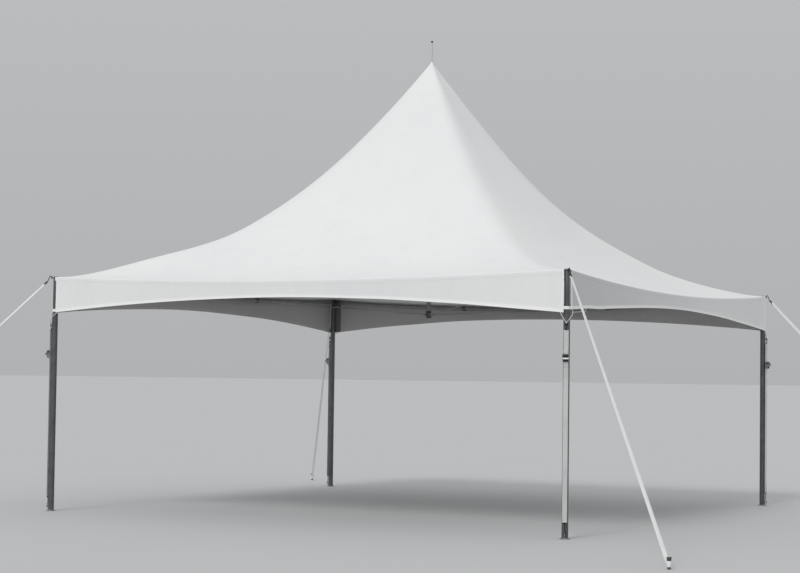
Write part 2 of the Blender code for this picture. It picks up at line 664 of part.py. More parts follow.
def make_ratchets():
    """The frame over the strap: two side plates, a back plate, an anchor bar and the wound spool."""
    low, high = SPOOL_HEIGHT - FRAME_BELOW, SPOOL_HEIGHT + FRAME_ABOVE
    outer = PLATE_INNER + PLATE
    left = box((FRAME_BACK, PLATE_INNER, low), (FRAME_FRONT, outer, high))
    right = box((FRAME_BACK, -outer, low), (FRAME_FRONT, -PLATE_INNER, high))
    back = STRAP_STANDOFF + WEBBING / 2 + TOUCH
    inside = PLATE_INNER + PLATE / 2
    plate_low = SPOOL_HEIGHT - BACK_PLATE_BELOW
    plate = box((back, -inside, plate_low), (back + PLATE, inside, plate_low + BACK_PLATE_HEIGHT))

    def bar(out, height, half_length, radius, sides):
        return rod((out, -half_length, height), (out, half_length, height), radius, sides)

    anchor = bar(ANCHOR_OUT, SPOOL_HEIGHT - ANCHOR_BELOW, inside, ANCHOR_RADIUS, 12)
    roll = bar(SPOOL_OUT, SPOOL_HEIGHT, WEBBING_WIDTH / 2, ROLL_RADIUS, 16)
    spool = bar(SPOOL_OUT, SPOOL_HEIGHT, ARM_INNER - TOUCH, SPOOL_RADIUS, 12)
    frame = fuse("ratchet", [left, right, plate, anchor, roll, spool], STEEL)
    copies(frame, "ratchet", [(corner, strap_angle(corner), True) for corner in CORNERS])


def make_handles():
    """Two arms and a grip, with the origin on the spool's axis."""
    pieces = []
    grip = Vector((GRIP_OUT, 0, -GRIP_DROP))
    lean = atan2(-GRIP_DROP, GRIP_OUT)
    length = hypot(GRIP_OUT, GRIP_DROP)
    for side in (1, -1):
        near, far = sorted((side * ARM_INNER, side * (ARM_INNER + ARM)))
        arm = box((-ARM_ROOT, near, -ARM_ROOT), (length + GRIP_RADIUS, far, ARM_ROOT))
        arm.data.transform(Matrix.Rotation(-lean, 4, "Y"))
        pieces.append(arm)
    inside = ARM_INNER + ARM / 2
    pieces.append(rod(grip - Vector((0, inside, 0)), grip + Vector((0, inside, 0)), GRIP_RADIUS, 12))
    handle = fuse("ratchet_handle", [pieces[0], pieces[2], pieces[1]], ZINC)
    for number, corner in enumerate(CORNERS):
        obj = handle if number == 0 else add_object(f"ratchet_handle_{corner}", handle.data)
        obj.name = f"ratchet_handle_{corner}"
        place(obj, strap_angle(corner), corner)
        out = Matrix.Rotation(strap_angle(corner), 3, "Z") @ Vector((SPOOL_OUT, 0, SPOOL_HEIGHT))
        obj.location += out


for side_name in SIDES:
    make_gore(side_name)
    make_valance(side_name)
    make_rail(side_name)
make_leg()
for corner_name in CORNERS:
    make_bracket(corner_name)
    make_bridle(corner_name)
make_mast()
make_cables()
webbing_outline = webbing_profile()
for corner_name in CORNERS:
    make_guy(corner_name, webbing_outline)
make_stakes()
make_leg_straps()
make_ratchets()
make_handles()
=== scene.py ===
# Looks for a square high-peak marquee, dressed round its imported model.
# Metres, +Z up. The origin is on the ground at the centre, the front faces -Y and the right +X.
import bmesh
import bpy
from math import atan2, cos, degrees, hypot, pi, radians, sin, sqrt
from mathutils import Matrix, Vector, noise


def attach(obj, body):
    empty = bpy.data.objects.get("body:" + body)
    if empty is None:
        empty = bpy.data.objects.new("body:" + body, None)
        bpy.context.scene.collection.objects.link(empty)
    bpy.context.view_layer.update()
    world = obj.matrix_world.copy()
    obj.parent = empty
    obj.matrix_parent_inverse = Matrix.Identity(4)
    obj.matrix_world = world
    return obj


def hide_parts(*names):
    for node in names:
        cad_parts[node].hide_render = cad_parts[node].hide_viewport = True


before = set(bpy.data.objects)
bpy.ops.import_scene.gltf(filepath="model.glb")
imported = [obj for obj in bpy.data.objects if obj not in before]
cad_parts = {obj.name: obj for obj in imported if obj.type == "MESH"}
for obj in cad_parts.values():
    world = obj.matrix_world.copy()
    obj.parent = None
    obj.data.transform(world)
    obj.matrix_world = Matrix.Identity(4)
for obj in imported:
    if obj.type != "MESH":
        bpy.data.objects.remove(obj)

scene = bpy.context.scene
scene.view_settings.view_transform = "Standard"
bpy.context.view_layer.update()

half = 3.048                 # from the tent's centre to the leg axes
edge = half + 0.036          # and to the canopy's edge, which hangs outside the posts
corners = {"front_right": (1, -1), "front_left": (-1, -1), "back_left": (-1, 1),
           "back_right": (1, 1)}
sides = {"front": -90, "right": 0, "back": 90, "left": 180}
cornerSides = {"front_right": ("right", "front"), "front_left": ("front", "left"),
               "back_left": ("left", "back"), "back_right": ("back", "right")}
strapTurns = {"front_right": -27, "front_left": -45, "back_left": 45, "back_right": -45}

# camera, at the photograph's angle
shot = {"place": (10.36, -20.12, 1.52), "yaw": 28.1, "pitch": 2.64, "roll": 0.76, "lens": 87.54}


def makeCamera():
    yaw, pitch, roll = (radians(shot[k]) for k in ("yaw", "pitch", "roll"))
    forward = Vector((-sin(yaw) * cos(pitch), cos(yaw) * cos(pitch), sin(pitch)))
    right = Vector((cos(yaw), sin(yaw), 0))
    up = right.cross(forward)
    across = right * cos(roll) + up * sin(roll)
    above = up * cos(roll) - right * sin(roll)
    bpy.ops.object.camera_add(location=shot["place"])
    camera = bpy.context.object
    camera.name = "photoCamera"
    camera.rotation_euler = Matrix((across, above, -forward)).transposed().to_euler()
    camera.data.sensor_width = 36
    camera.data.lens = shot["lens"]
    camera.data.clip_end = 2000
    scene.camera = camera


makeCamera()
print("camera ready")


# modelling helpers
def at(x=0, y=0, z=0):
    return Vector((x, y, z))


def shifted(x=0, y=0, z=0):
    return Matrix.Translation((x, y, z))


def turned(angle, axis="Z"):
    return Matrix.Rotation(angle, 4, axis)


def onlyThis(piece):
    active = bpy.context.view_layer.objects.active
    if active and active.mode != "OBJECT":
        bpy.ops.object.mode_set(mode="OBJECT")
    bpy.ops.object.select_all(action="DESELECT")
    if piece:
        piece.select_set(True)
        bpy.context.view_layer.objects.active = piece


def addShape(operator, **settings):
    onlyThis(None)
    operator(**settings)
    bpy.ops.object.transform_apply(location=True, rotation=True, scale=True)
    return bpy.context.object


def pickFaces(piece, test):
    mesh = bmesh.from_edit_mesh(piece.data)
    mesh.normal_update()
    for face in mesh.faces:
        face.select_set(bool(test(face.calc_center_median(), face.normal)))
    bmesh.update_edit_mesh(piece.data)


def editFaces(piece, test=lambda centre, normal: True, kind="FACE"):
    onlyThis(piece)
    bpy.ops.object.mode_set(mode="EDIT")
    bpy.ops.mesh.select_mode(type=kind)
    bpy.ops.mesh.select_all(action="DESELECT")
    if kind == "FACE":
        pickFaces(piece, test)


def editEdges(piece, test):
    editFaces(piece, test, "EDGE")
    mesh = bmesh.from_edit_mesh(piece.data)
    for line in mesh.edges:
        if test(line.verts[0].co, line.verts[1].co):
            line.select_set(True)
    bmesh.update_edit_mesh(piece.data)


def leaveEdit(piece, smooth=35):
    bpy.ops.mesh.select_all(action="SELECT")
    bpy.ops.mesh.normals_make_consistent(inside=False)
    bpy.ops.object.mode_set(mode="OBJECT")
    onlyThis(piece)
    bpy.ops.object.shade_smooth_by_angle(angle=radians(smooth))
    return piece


def finish(piece, smooth=35):
    editFaces(piece)
    return leaveEdit(piece, smooth)


def insetTwice(first, second, depth):
    bpy.ops.mesh.inset(thickness=first)
    bpy.ops.mesh.inset(thickness=second, depth=depth)


def useModifier(piece, kind, **settings):
    onlyThis(piece)
    modifier = piece.modifiers.new(kind, kind)
    for key, value in settings.items():
        setattr(modifier, key, value)
    bpy.ops.object.modifier_apply(modifier=modifier.name)
    return piece


def joinPieces(pieces):
    onlyThis(pieces[0])
    for piece in pieces[1:]:
        piece.select_set(True)
    bpy.ops.object.join()
    return pieces[0]


def moveAll(pieces, matrix):
    for piece in pieces:
        piece.data.transform(matrix)
    return pieces


def paint(piece, *materials):
    piece.data.materials.clear()
    for material in materials:
        piece.data.materials.append(material)
    return piece


def settle(piece, name, slot, *nodes, body="tent"):
    piece.name = piece.data.name = name
    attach(piece, body)
    if nodes:
        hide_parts(*nodes)
    return piece


def label(corner):
    return corner.title().replace("_", "")


def outward(corner):
    return Vector((*corners[corner], 0)).normalized()


def sideways(corner):
    sx, sy = corners[corner]
    return at(-sy, sx).normalized()


def legSpot(corner, height=0.0):
    sx, sy = corners[corner]
    return at(sx * half, sy * half, height)


def diagonalSpot(corner, turn=0):
    # frames with x outwards along the corner's diagonal: at the centre, then at the leg
    sx, sy = corners[corner]
    return turned(atan2(sy, sx) + radians(turn))


def cornerSpot(corner, turn=0):
    return shifted(*legSpot(corner)) @ diagonalSpot(corner, turn)


def strapSpot(corner):
    return cornerSpot(corner, strapTurns[corner])


def atCorners(piece, name, spot, slot, replaced=None, ownBody=False):
    # one finished piece, copied to the four corners with its own mesh each time
    for corner in corners:
        onlyThis(piece)
        bpy.ops.object.duplicate(linked=False)
        twin = bpy.context.object
        twin.matrix_world = spot(corner)
        bpy.ops.object.transform_apply(location=True, rotation=True, scale=True)
        settle(twin, name + label(corner), slot, *([f"{replaced}_{corner}"] if replaced else []),
               body=f"handle_{corner}" if ownBody else "tent")
    bpy.data.objects.remove(piece, do_unlink=True)


def makeTube(material, start, end, radius, facets=32, wall=0.0, bevel=0.0, recess=0.02):
    start, end = Vector(start), Vector(end)
    run = end - start
    way = run.normalized()
    piece = addShape(bpy.ops.mesh.primitive_cylinder_add, vertices=facets, radius=radius,
                     depth=run.length, location=(start + end) / 2,
                     rotation=run.to_track_quat("Z", "Y").to_euler())

    def isCap(centre, normal):
        return abs(normal.dot(way)) > 0.99

    editFaces(piece, isCap)
    if bevel:
        bpy.ops.mesh.bevel(offset=bevel, segments=3, affect="EDGES")
        pickFaces(piece, isCap)
    if wall:
        insetTwice(wall, 0.0002, -recess)
    return paint(leaveEdit(piece), material)


def makeUpright(material, low, high, radius, facets=32, **more):
    return makeTube(material, (0, 0, low), (0, 0, high), radius, facets, **more)


def makeBlock(material, low, high, bevel, segments=2, along=None):
    # a block between two corners, its edges rounded, or only those that run along one axis
    low, high = Vector(low), Vector(high)
    piece = addShape(bpy.ops.mesh.primitive_cube_add, size=1, location=(low + high) / 2,
                     scale=high - low)
    editEdges(piece, lambda a, b: along is None or abs((a - b)[along]) > 1e-6)
    bpy.ops.mesh.bevel(offset=bevel, segments=segments, affect="EDGES")
    return paint(leaveEdit(piece), material)


def makePair(material, low, high, gap, thick, bevel, segments):
    # two like plates, one on each side of a gap; low and high are their (x, z) corners
    plates = []
    for way in (-1, 1):
        near, far = sorted((way * gap, way * (gap + thick)))
        plates.append(makeBlock(material, (low[0], near, low[1]), (high[0], far, high[1]), bevel,
                                segments, along=1))
    return plates


def makeRing(material, centre, axis, radius, wire, segments=36, facets=12):
    piece = addShape(bpy.ops.mesh.primitive_torus_add, major_radius=radius, minor_radius=wire,
                     major_segments=segments, minor_segments=facets, location=centre,
                     rotation=Vector(axis).to_track_quat("Z", "Y").to_euler())
    return paint(finish(piece), material)


def makeBall(material, centre, radius, segments=12, rings=8):
    return paint(addShape(bpy.ops.mesh.primitive_uv_sphere_add, segments=segments,
                          ring_count=rings, radius=radius, location=centre), material)


def makeBolt(material, start, end, radius, head=1.8, thick=0.9):
    # a round shank with a hexagon head and nut
    start, end = Vector(start), Vector(end)
    way = (end - start).normalized()
    parts = [makeTube(material, start, end, radius, 16)]
    for foot, turn in ((start, 1), (end, -1)):
        parts.append(makeTube(material, foot, foot + way * turn * radius * 2 * thick,
                              radius * head, 6, bevel=radius * 0.12))
    return joinPieces(parts)


def bendWire(material, start, heading, steps, radius):
    # a wire bent as by hand: (length,) runs on, (angle, radius, side) bends towards a side
    heading, spot = Vector(heading).normalized(), Vector(start)
    piece = addShape(bpy.ops.mesh.primitive_circle_add, vertices=12, radius=radius,
                     fill_type="NGON", location=spot,
                     rotation=heading.to_track_quat("Z", "Y").to_euler())
    editFaces(piece)
    for step in steps:
        if len(step) == 1:
            bpy.ops.mesh.extrude_region_move(TRANSFORM_OT_translate={"value": heading * step[0]})
            spot = spot + heading * step[0]
            continue
        angle, bend, side = step
        side = (side - heading * side.dot(heading)).normalized()
        centre, axis = spot + side * bend, heading.cross(side)
        bpy.ops.mesh.spin(steps=max(3, round(abs(angle) / 12)), dupli=False, angle=radians(angle),
                          center=centre, axis=-axis)
        turn = Matrix.Rotation(radians(angle), 3, axis)
        spot = centre + turn @ (spot - centre)
        heading = turn @ heading
    return paint(leaveEdit(piece, 50), material)


def bendHook(start, heading, steps, radius):
    # a bent wire whose bare end is rounded
    return [bendWire(darkSteel, start, heading, steps, radius),
            makeBall(darkSteel, start, radius * 1.02)]


def layUv(piece, rule):
    layer = piece.data.uv_layers.active or piece.data.uv_layers.new(name="UVMap")
    for loop in piece.data.loops:
        layer.data[loop.index].uv = rule(piece.data.vertices[loop.vertex_index].co)
    return piece


def makeBand(material, width, thick, length, cuts):
    # flat webbing standing along +Z from the origin, with its weave laid out in metres
    piece = addShape(bpy.ops.mesh.primitive_cube_add, size=1, location=(0, 0, length / 2),
                     scale=(width, thick, length))
    editEdges(piece, lambda a, b: abs(a.z - b.z) > 1e-6)
    bpy.ops.mesh.bevel(offset=thick * 0.3, segments=2, affect="EDGES")
    leaveEdit(piece)
    editEdges(piece, lambda a, b: abs(a.z - b.z) > 1e-6)
    bpy.ops.mesh.subdivide(number_cuts=cuts)
    leaveEdit(piece)
    return paint(layUv(piece, lambda spot: (spot.x + spot.y, spot.z)), material)


def makeGrid(columns, rows, spotAt):
    # a sheet; each point is placed by its shares, from 0 to 1, along the columns and the rows
    sheet = addShape(bpy.ops.mesh.primitive_grid_add, x_subdivisions=columns, y_subdivisions=rows,
                     size=2)
    for vertex in sheet.data.vertices:
        vertex.co = spotAt((vertex.co.x + 1) / 2, (vertex.co.y + 1) / 2)
    sheet.data.update()
    return sheet


def thicken(sheet, way, thick, inner):
    # turns a sheet's faces towards a way, then gives it its thickness on the other side
    if sum(face.normal.dot(way) for face in sheet.data.polygons) < 0:
        editFaces(sheet)
        bpy.ops.mesh.flip_normals()
        bpy.ops.object.mode_set(mode="OBJECT")
    area = sum(face.area for face in sheet.data.polygons)
    useModifier(sheet, "SOLIDIFY", thickness=thick, offset=-1.0, material_offset=inner)
    bpy.ops.object.shade_smooth_by_angle(angle=radians(48))
    return area


def makeRope(material, points, radius, lay, strands=3, perTurn=10, rounds=1):
    # strands laid round a path, each a bevelled curve, made a mesh at the end
    path = [Vector(p) for p in points]
    steps = [(b - a).length for a, b in zip(path, path[1:])]
    total = sum(steps)
    count = max(8, int(total / lay * perTurn))
    strand = radius * (0.52 if strands == 3 else 0.40)
    onlyThis(None)
    bpy.ops.curve.primitive_nurbs_path_add()
    curve = bpy.context.object.data
    curve.splines.clear()
    curve.dimensions = "3D"
    curve.bevel_depth = strand
    curve.bevel_resolution = rounds
    curve.use_fill_caps = True
    frames, side = [], None
    for i in range(count + 1):
        left, k = total * i / count, 0
        while k < len(steps) - 1 and left > steps[k]:
            left -= steps[k]
            k += 1
        heading = (path[k + 1] - path[k]).normalized()
        side = side or heading.orthogonal()
        side = (side - heading * side.dot(heading)).normalized()
        frames.append((path[k].lerp(path[k + 1], min(1.0, left / steps[k])), side,
                       heading.cross(side)))
    for s in range(strands):
        spline = curve.splines.new("POLY")
        spline.points.add(count)
        for i, (spot, one, two) in enumerate(frames):
            turn = 2 * pi * (total * i / count / lay + s / strands)
            spot = spot + (one * cos(turn) + two * sin(turn)) * (radius - strand)
            spline.points[i].co = (*spot, 1)
    bpy.ops.object.convert(target="MESH")
    rope = bpy.context.object
    editFaces(rope)
    bpy.ops.mesh.remove_doubles(threshold=0.00001)
    leaveEdit(rope, 60)
    bpy.ops.object.transform_apply(location=True, rotation=True, scale=True)
    return paint(rope, material)


# materials
def node(mat, kind, sockets=None, **settings):
    made = mat.node_tree.nodes.new("ShaderNode" + kind)
    for key, value in settings.items():
        setattr(made, key, value)
    for key, value in (sockets or {}).items():
        if isinstance(value, bpy.types.NodeSocket):
            mat.node_tree.links.new(value, made.inputs[key])
        else:
            made.inputs[key].default_value = value
    return made


def maths(mat, operation, a, b=0.0):
    return node(mat, "Math", {0: a, 1: b}, operation=operation).outputs[0]


def plus(mat, a, b):
    return maths(mat, "ADD", a, b)


def times(mat, a, b):
    return maths(mat, "MULTIPLY", a, b)


def most(mat, value, *others):
    for other in others:
        value = maths(mat, "MAXIMUM", value, other)
    return value


def wave(mat, value, length):
    return maths(mat, "SINE", times(mat, value, 2 * pi / length))


def spread(mat, value, low, high, toLow, toHigh):
    return node(mat, "MapRange", {0: value, 1: low, 2: high, 3: toLow, 4: toHigh},
                clamp=True).outputs[0]


def blend(mat, share, one, two):
    # two colours, each three numbers or a node's output
    one, two = ((*colour, 1) if isinstance(colour, tuple) else colour for colour in (one, two))
    return node(mat, "Mix", {0: share, 6: one, 7: two}, data_type="RGBA").outputs[2]


def noiseOf(mat, coords, scale, detail=3.0, rough=0.55):
    return node(mat, "TexNoise", {"Vector": coords, "Scale": scale, "Detail": detail,
                                  "Roughness": rough}).outputs["Fac"]


def bumpOf(mat, height, distance, strength, under=None):
    sockets = {"Height": height, "Distance": distance, "Strength": strength}
    if under:
        sockets["Normal"] = under
    return node(mat, "Bump", sockets).outputs["Normal"]


def objectPlace(mat):
    return node(mat, "TexCoord").outputs["Object"]


def stretch(mat, place, scale):
    return node(mat, "Mapping", {"Vector": place, "Scale": scale}).outputs[0]


def newMaterial(name, **fixed):
    mat = bpy.data.materials.new(name)
    mat.use_nodes = True
    for key, value in fixed.items():
        mat.node_tree.nodes["Principled BSDF"].inputs[key.replace("_", " ")].default_value = value
    return mat


def plug(mat, **outputs):
    shader = mat.node_tree.nodes["Principled BSDF"]
    for key, value in outputs.items():
        mat.node_tree.links.new(value, shader.inputs[key.replace("_", " ")])
    return mat


# the darker grey and its span along Y are painted shade, for the right side's front end
vinyl = {"clean": (0.86, 0.86, 0.855), "cleanShade": (0.81, 0.812, 0.815),
         "paintedShade": (0.56, 0.562, 0.565), "paintedShadeFrom": -3.05, "paintedShadeTo": 0.9, "paintedShadeMost": 0.75,
         "roughness": 0.48, "thread": 0.0032, "panel": 0.74, "seamHalf": 0.012, "hipHalf": 0.022,
         "peakPatch": 0.26, "cornerPatch": 0.40, "cut": 0.001}


def makeVinyl(name, light, dark, paintedShade=False):
    mat = newMaterial(name, Roughness=vinyl["roughness"])
    place = objectPlace(mat)
    x, y, z = node(mat, "SeparateXYZ", {0: place}).outputs
    farX, farY = maths(mat, "ABSOLUTE", x), maths(mat, "ABSOLUTE", y)
    along = maths(mat, "MINIMUM", farX, farY)
    out = most(mat, farX, farY)
    # doubled cloth: panel seams, hips, and patches at the peak and the corners
    double = []
    for value, reach in ((maths(mat, "PINGPONG", along, vinyl["panel"]), vinyl["seamHalf"]),
                         (maths(mat, "SUBTRACT", out, along), vinyl["hipHalf"]),
                         (out, vinyl["peakPatch"])):
        double.append(spread(mat, value, reach, reach + vinyl["cut"], 1, 0))
    reach = 2 * half - vinyl["cornerPatch"]
    double = most(mat, *double,
                  spread(mat, plus(mat, farX, farY), reach, reach + vinyl["cut"], 0, 1))
    streaks = noiseOf(mat, stretch(mat, place, (5, 5, 0.5)), 1.0, 5, 0.6)
    grime = plus(mat, spread(mat, noiseOf(mat, place, 0.8, 4), 0.35, 0.75, 0, 0.6),
                 spread(mat, streaks, 0.52, 0.78, 0, 0.5))
    grime = maths(mat, "SUBTRACT", grime, times(mat, double, 0.25))
    colour = blend(mat, most(mat, grime, 0.0), light, dark)
    if paintedShade:
        # painted shade: greyer towards the front (-Y) end, standing in for the shade on the right
        # side beside the near post
        share = spread(mat, y, vinyl["paintedShadeFrom"], vinyl["paintedShadeTo"], vinyl["paintedShadeMost"], 0)
        colour = blend(mat, share, colour, vinyl["paintedShade"])
    threads = times(mat, wave(mat, along, vinyl["thread"]),
                    wave(mat, plus(mat, out, z), vinyl["thread"]))
    grain = plus(mat, times(mat, threads, 0.5), noiseOf(mat, place, 420, 2))
    gloss = spread(mat, noiseOf(mat, place, 6, 4), 0.3, 0.7,
                   vinyl["roughness"] - 0.06, vinyl["roughness"] + 0.08)
    soft = bumpOf(mat, noiseOf(mat, place, 2.6, 3), 0.010, 0.35)
    weld = bumpOf(mat, double, 0.0008, 0.9, bumpOf(mat, grain, 0.00012, 0.5, soft))
    return plug(mat, Base_Color=colour, Roughness=gloss, Normal=weld)


def makeMetal(name, light, dark, roughness, metallic, scale=9.0, brushed=(1, 1, 1), pits=0.0002,
              rust=None):
    mat = newMaterial(name, Roughness=roughness, Metallic=metallic)
    place = objectPlace(mat)
    patches = noiseOf(mat, place, scale, 5, 0.6)
    colour = blend(mat, spread(mat, patches, 0.35, 0.7, 0, 1), light, dark)
    if rust:
        spots = spread(mat, noiseOf(mat, place, scale * 5, 6, 0.7), 0.60, 0.72, 0, 0.7)
        colour = blend(mat, spots, colour, rust)
    drawn = noiseOf(mat, stretch(mat, place, brushed), 60, 3, 0.6)
    gloss = spread(mat, drawn, 0.3, 0.7, roughness - 0.08, roughness + 0.12)
    normal = bumpOf(mat, plus(mat, drawn, times(mat, patches, 0.4)), pits, 0.6)
    return plug(mat, Base_Color=colour, Roughness=gloss, Normal=normal)


webbing = {"rib": 0.0022, "yarn": 0.0016, "zigzag": 0.006, "edge": 0.0205, "edgeSoft": 0.0008}


def makeWebbing(name, light, dark):
    mat = newMaterial(name, Roughness=0.82, Sheen_Weight=0.15)
    x, y, z = node(mat, "SeparateXYZ", {0: node(mat, "UVMap", uv_map="UVMap").outputs[0]}).outputs
    rib = wave(mat, plus(mat, y, maths(mat, "PINGPONG", x, webbing["zigzag"])), webbing["rib"])
    weave = plus(mat, rib, times(mat, wave(mat, x, webbing["yarn"]), 0.5))
    bound = spread(mat, maths(mat, "ABSOLUTE", x), webbing["edge"],
                   webbing["edge"] + webbing["edgeSoft"], 0, 0.35)
    worn = spread(mat, noiseOf(mat, objectPlace(mat), 3.5, 5), 0.45, 0.75, 0, 0.45)
    # the weave's hollows are made darker: painted shade in the weave
    share = plus(mat, bound, plus(mat, worn, spread(mat, weave, -1.2, 1.2, 0.30, 0)))
    colour = blend(mat, maths(mat, "MINIMUM", share, 1.0), light, dark)
    return plug(mat, Base_Color=colour, Normal=bumpOf(mat, weave, 0.0004, 0.7))


def makePlastic(name, light, dark, roughness):
    mat = newMaterial(name, Roughness=roughness)
    place = objectPlace(mat)
    colour = blend(mat, noiseOf(mat, place, 30, 4), light, dark)
    grain = bumpOf(mat, noiseOf(mat, place, 700, 2), 0.0001, 0.5)
    return plug(mat, Base_Color=colour, Normal=grain)


outerVinyl = makeVinyl("outerVinyl", vinyl["clean"], vinyl["cleanShade"])
# a copy with painted shade, greyer towards the front end
paintedShadeVinyl = makeVinyl("paintedShadeVinyl", vinyl["clean"], vinyl["cleanShade"], True)
# a slightly darker copy of the white vinyl for the roof's underside: painted shade
roofInnerVinylPaintedShade = makeVinyl("roofInnerVinylPaintedShade", (0.80, 0.80, 0.79), (0.72, 0.72, 0.71))
# the inner faces of the same white vinyl, made darker: painted shade inside the valances and hems
innerVinylPaintedShade = makeVinyl("innerVinylPaintedShade", (0.45, 0.45, 0.44), (0.40, 0.40, 0.39))
# a touch lighter than the cloth: partly the doubled layer of hems and bindings, partly a painted
# highlight along the hem's edge
hemVinyl = makeVinyl("hemVinyl", (0.90, 0.90, 0.895), vinyl["clean"])
aluminium = makeMetal("drawnAluminium", (0.155, 0.158, 0.163), (0.11, 0.112, 0.116), 0.42, 0.75,
                      brushed=(1, 1, 0.04))
railAluminium = makeMetal("railAluminium", (0.26, 0.26, 0.265), (0.19, 0.19, 0.195), 0.45, 0.75)
casting = makeMetal("castFitting", (0.13, 0.13, 0.135), (0.09, 0.09, 0.095), 0.52, 0.7, 25,
                    pits=0.0006)
galvanised = makeMetal("galvanisedSteel", (0.40, 0.40, 0.40), (0.24, 0.25, 0.26), 0.40, 0.85, 40)
darkSteel = makeMetal("darkSteel", (0.055, 0.055, 0.057), (0.03, 0.03, 0.032), 0.48, 0.75, 30,
                      rust=(0.09, 0.045, 0.022))
stakeSteel = makeMetal("stakeSteel", (0.16, 0.15, 0.14), (0.09, 0.085, 0.08), 0.60, 0.6, 30,
                       rust=(0.17, 0.075, 0.03), pits=0.0008)
cableSteel = makeMetal("cableSteel", (0.36, 0.36, 0.365), (0.22, 0.22, 0.225), 0.38, 0.85, 60)
zincPlate = makeMetal("zincPlate", (0.34, 0.34, 0.33), (0.22, 0.22, 0.21), 0.36, 0.85, 45)
# near-white: a painted highlight standing in for the glint on the ratchet handle's grip
paintedHighlightPlate = makeMetal("paintedHighlightPlate", (0.92, 0.92, 0.91), (0.80, 0.80, 0.79), 0.32, 0.2, 30)
whiteWebbing = makeWebbing("whiteWebbing", (0.97, 0.97, 0.965), (0.88, 0.88, 0.87))
wornWebbing = makeWebbing("wornWebbing", (0.70, 0.705, 0.69), (0.52, 0.525, 0.51))
ropeFibre = makePlastic("ropeFibre", (0.82, 0.82, 0.80), (0.66, 0.66, 0.64), 0.80)
blackRubber = makePlastic("blackRubber", (0.030, 0.030, 0.032), (0.018, 0.018, 0.02), 0.55)
paleRod = makePlastic("paleRod", (0.58, 0.61, 0.63), (0.50, 0.53, 0.55), 0.40)
stitchThread = makePlastic("stitchThread", (0.62, 0.62, 0.61), (0.50, 0.50, 0.49), 0.75)
# dark grey sheet: painted shade inside the corner beside the post
paintedShadeFlap = makePlastic("paintedShadeFlap", (0.17, 0.17, 0.165), (0.12, 0.12, 0.116), 0.85)
print("materials ready")

# canopy
canopy = {"corner": 2.565, "rise": 2.635, "sag": 2.05, "bulge": 0.015, "dipReach": 6.0,
          "dips": {"front": 0.07, "right": 0.115, "back": 0.115, "left": 0.07},
          "hole": 0.0115, "postGap": 0.0275, "end": 0.0185, "crease": 0.09, "roundness": 0.9,
          "overRail": 0.006, "fold": 0.010, "foldRows": 5, "lap": 0.030, "lapRows": 3,
          "columns": 72, "rows": 60, "rowGrowth": 1.15, "weldReach": 0.00004, "thick": 0.0012,
          "wander": 0.004, "wanderScale": 0.9,
          # how hips differ from the common curve: start, end (out from the mast) and height
          "hipShifts": {"front_left": [(1.5, 3.08, 0.088), (0.3, 1.55, -0.016)],
                        "back_right": [(0.2, 1.95, -0.092), (1.95, 3.08, 0.022)]}}


def ease(value, low, high):
    share = min(1.0, max(0.0, (value - low) / (high - low)))
    return share * share * (3 - 2 * share)


def hipShift(x, y, far, share):
    corner = ("back_" if y > 0 else "front_") + ("right" if x > 0 else "left")
    total = 0.0
    for start, end, height in canopy["hipShifts"].get(corner, []):
        if start < far < end:
            total += height * sin(pi * (far - start) / (end - start)) ** 2
    return total * share ** 2


def roofHeight(x, y):
    # the skin's height over any point of the plan, with hips that soften on their way down
    a, b = abs(x), abs(y)
    far = max(a, b, 1e-6)
    share = min(a, b) / far
    reach = min(1.0, far / half)
    sharp = canopy["crease"] * 4 * reach * (1 - reach)
    soft = sharp + canopy["roundness"] * reach * (1 - reach) ** 2
    low = far * share ** 2 * (2 - share)
    out = (far + low + sqrt((far - low) ** 2 + soft ** 2) - soft
           + (soft - sharp) * 0.5 * (1 - share ** 2) ** 2) / 2
    side = ("right" if x > 0 else "left") if a > b else ("back" if y > 0 else "front")
    swell = canopy["bulge"] * (1 - reach) * (1 - share ** 2)
    rise = max(0.0, 1 - out * (1 - swell) / half) ** canopy["sag"]
    dip = canopy["dips"][side] * (1 - share ** 2) * reach ** canopy["dipReach"]
    drop = canopy["overRail"] * ease(far, half - 0.35, half - 0.03)
    scale = canopy["wanderScale"]
    drift = noise.noise(at(x * scale, y * scale, 3.7)) * canopy["wander"] * 4 * reach * (1 - reach)
    height = canopy["corner"] + canopy["rise"] * rise
    return height - dip - drop + drift + hipShift(x, y, far, share)


def facing(side, out, along):
    # a point of one side's own layout, turned to where that side is
    turn = radians(sides[side])
    return out * cos(turn) - along * sin(turn), out * sin(turn) + along * cos(turn)


def makeGore(side):
    fold, gap, hole = canopy["fold"], canopy["postGap"], canopy["hole"]
    rows, foldRows, lapRows = canopy["rows"], canopy["foldRows"], canopy["lapRows"]
    notch = half - gap / sqrt(2)

    def reach(out):
        # where a gore's row ends: on the hip, then round the post, then short of the corner
        if out <= notch:
            return out
        return half - max(sqrt(max(0.0, gap ** 2 - (half - out) ** 2)), canopy["end"])

    # rows down to the rail, round the fold and down the lap: how far out, how far down
    outs = [hole + (notch - hole) * (i / rows) ** canopy["rowGrowth"] for i in range(rows + 1)]
    outs += [half - 0.010, half, half + 0.010, half + 0.020, edge - fold]
    stations = [(out, 0.0) for out in outs]
    bends = [pi / 2 * i / foldRows for i in range(1, foldRows + 1)]
    stations += [(edge - fold + fold * sin(bend), fold * (1 - cos(bend))) for bend in bends]
    stations += [(edge, fold + canopy["lap"] * i / lapRows) for i in range(1, lapRows + 1)]
    last = len(stations) - 1

    def spotAt(across, down):
        out, drop = stations[round(down * last)]
        along = (2 * across - 1) * reach(out)
        x, y = facing(side, out, along)
        return x, y, roofHeight(*facing(side, min(out, half), along)) - drop

    return makeGrid(canopy["columns"], last, spotAt)


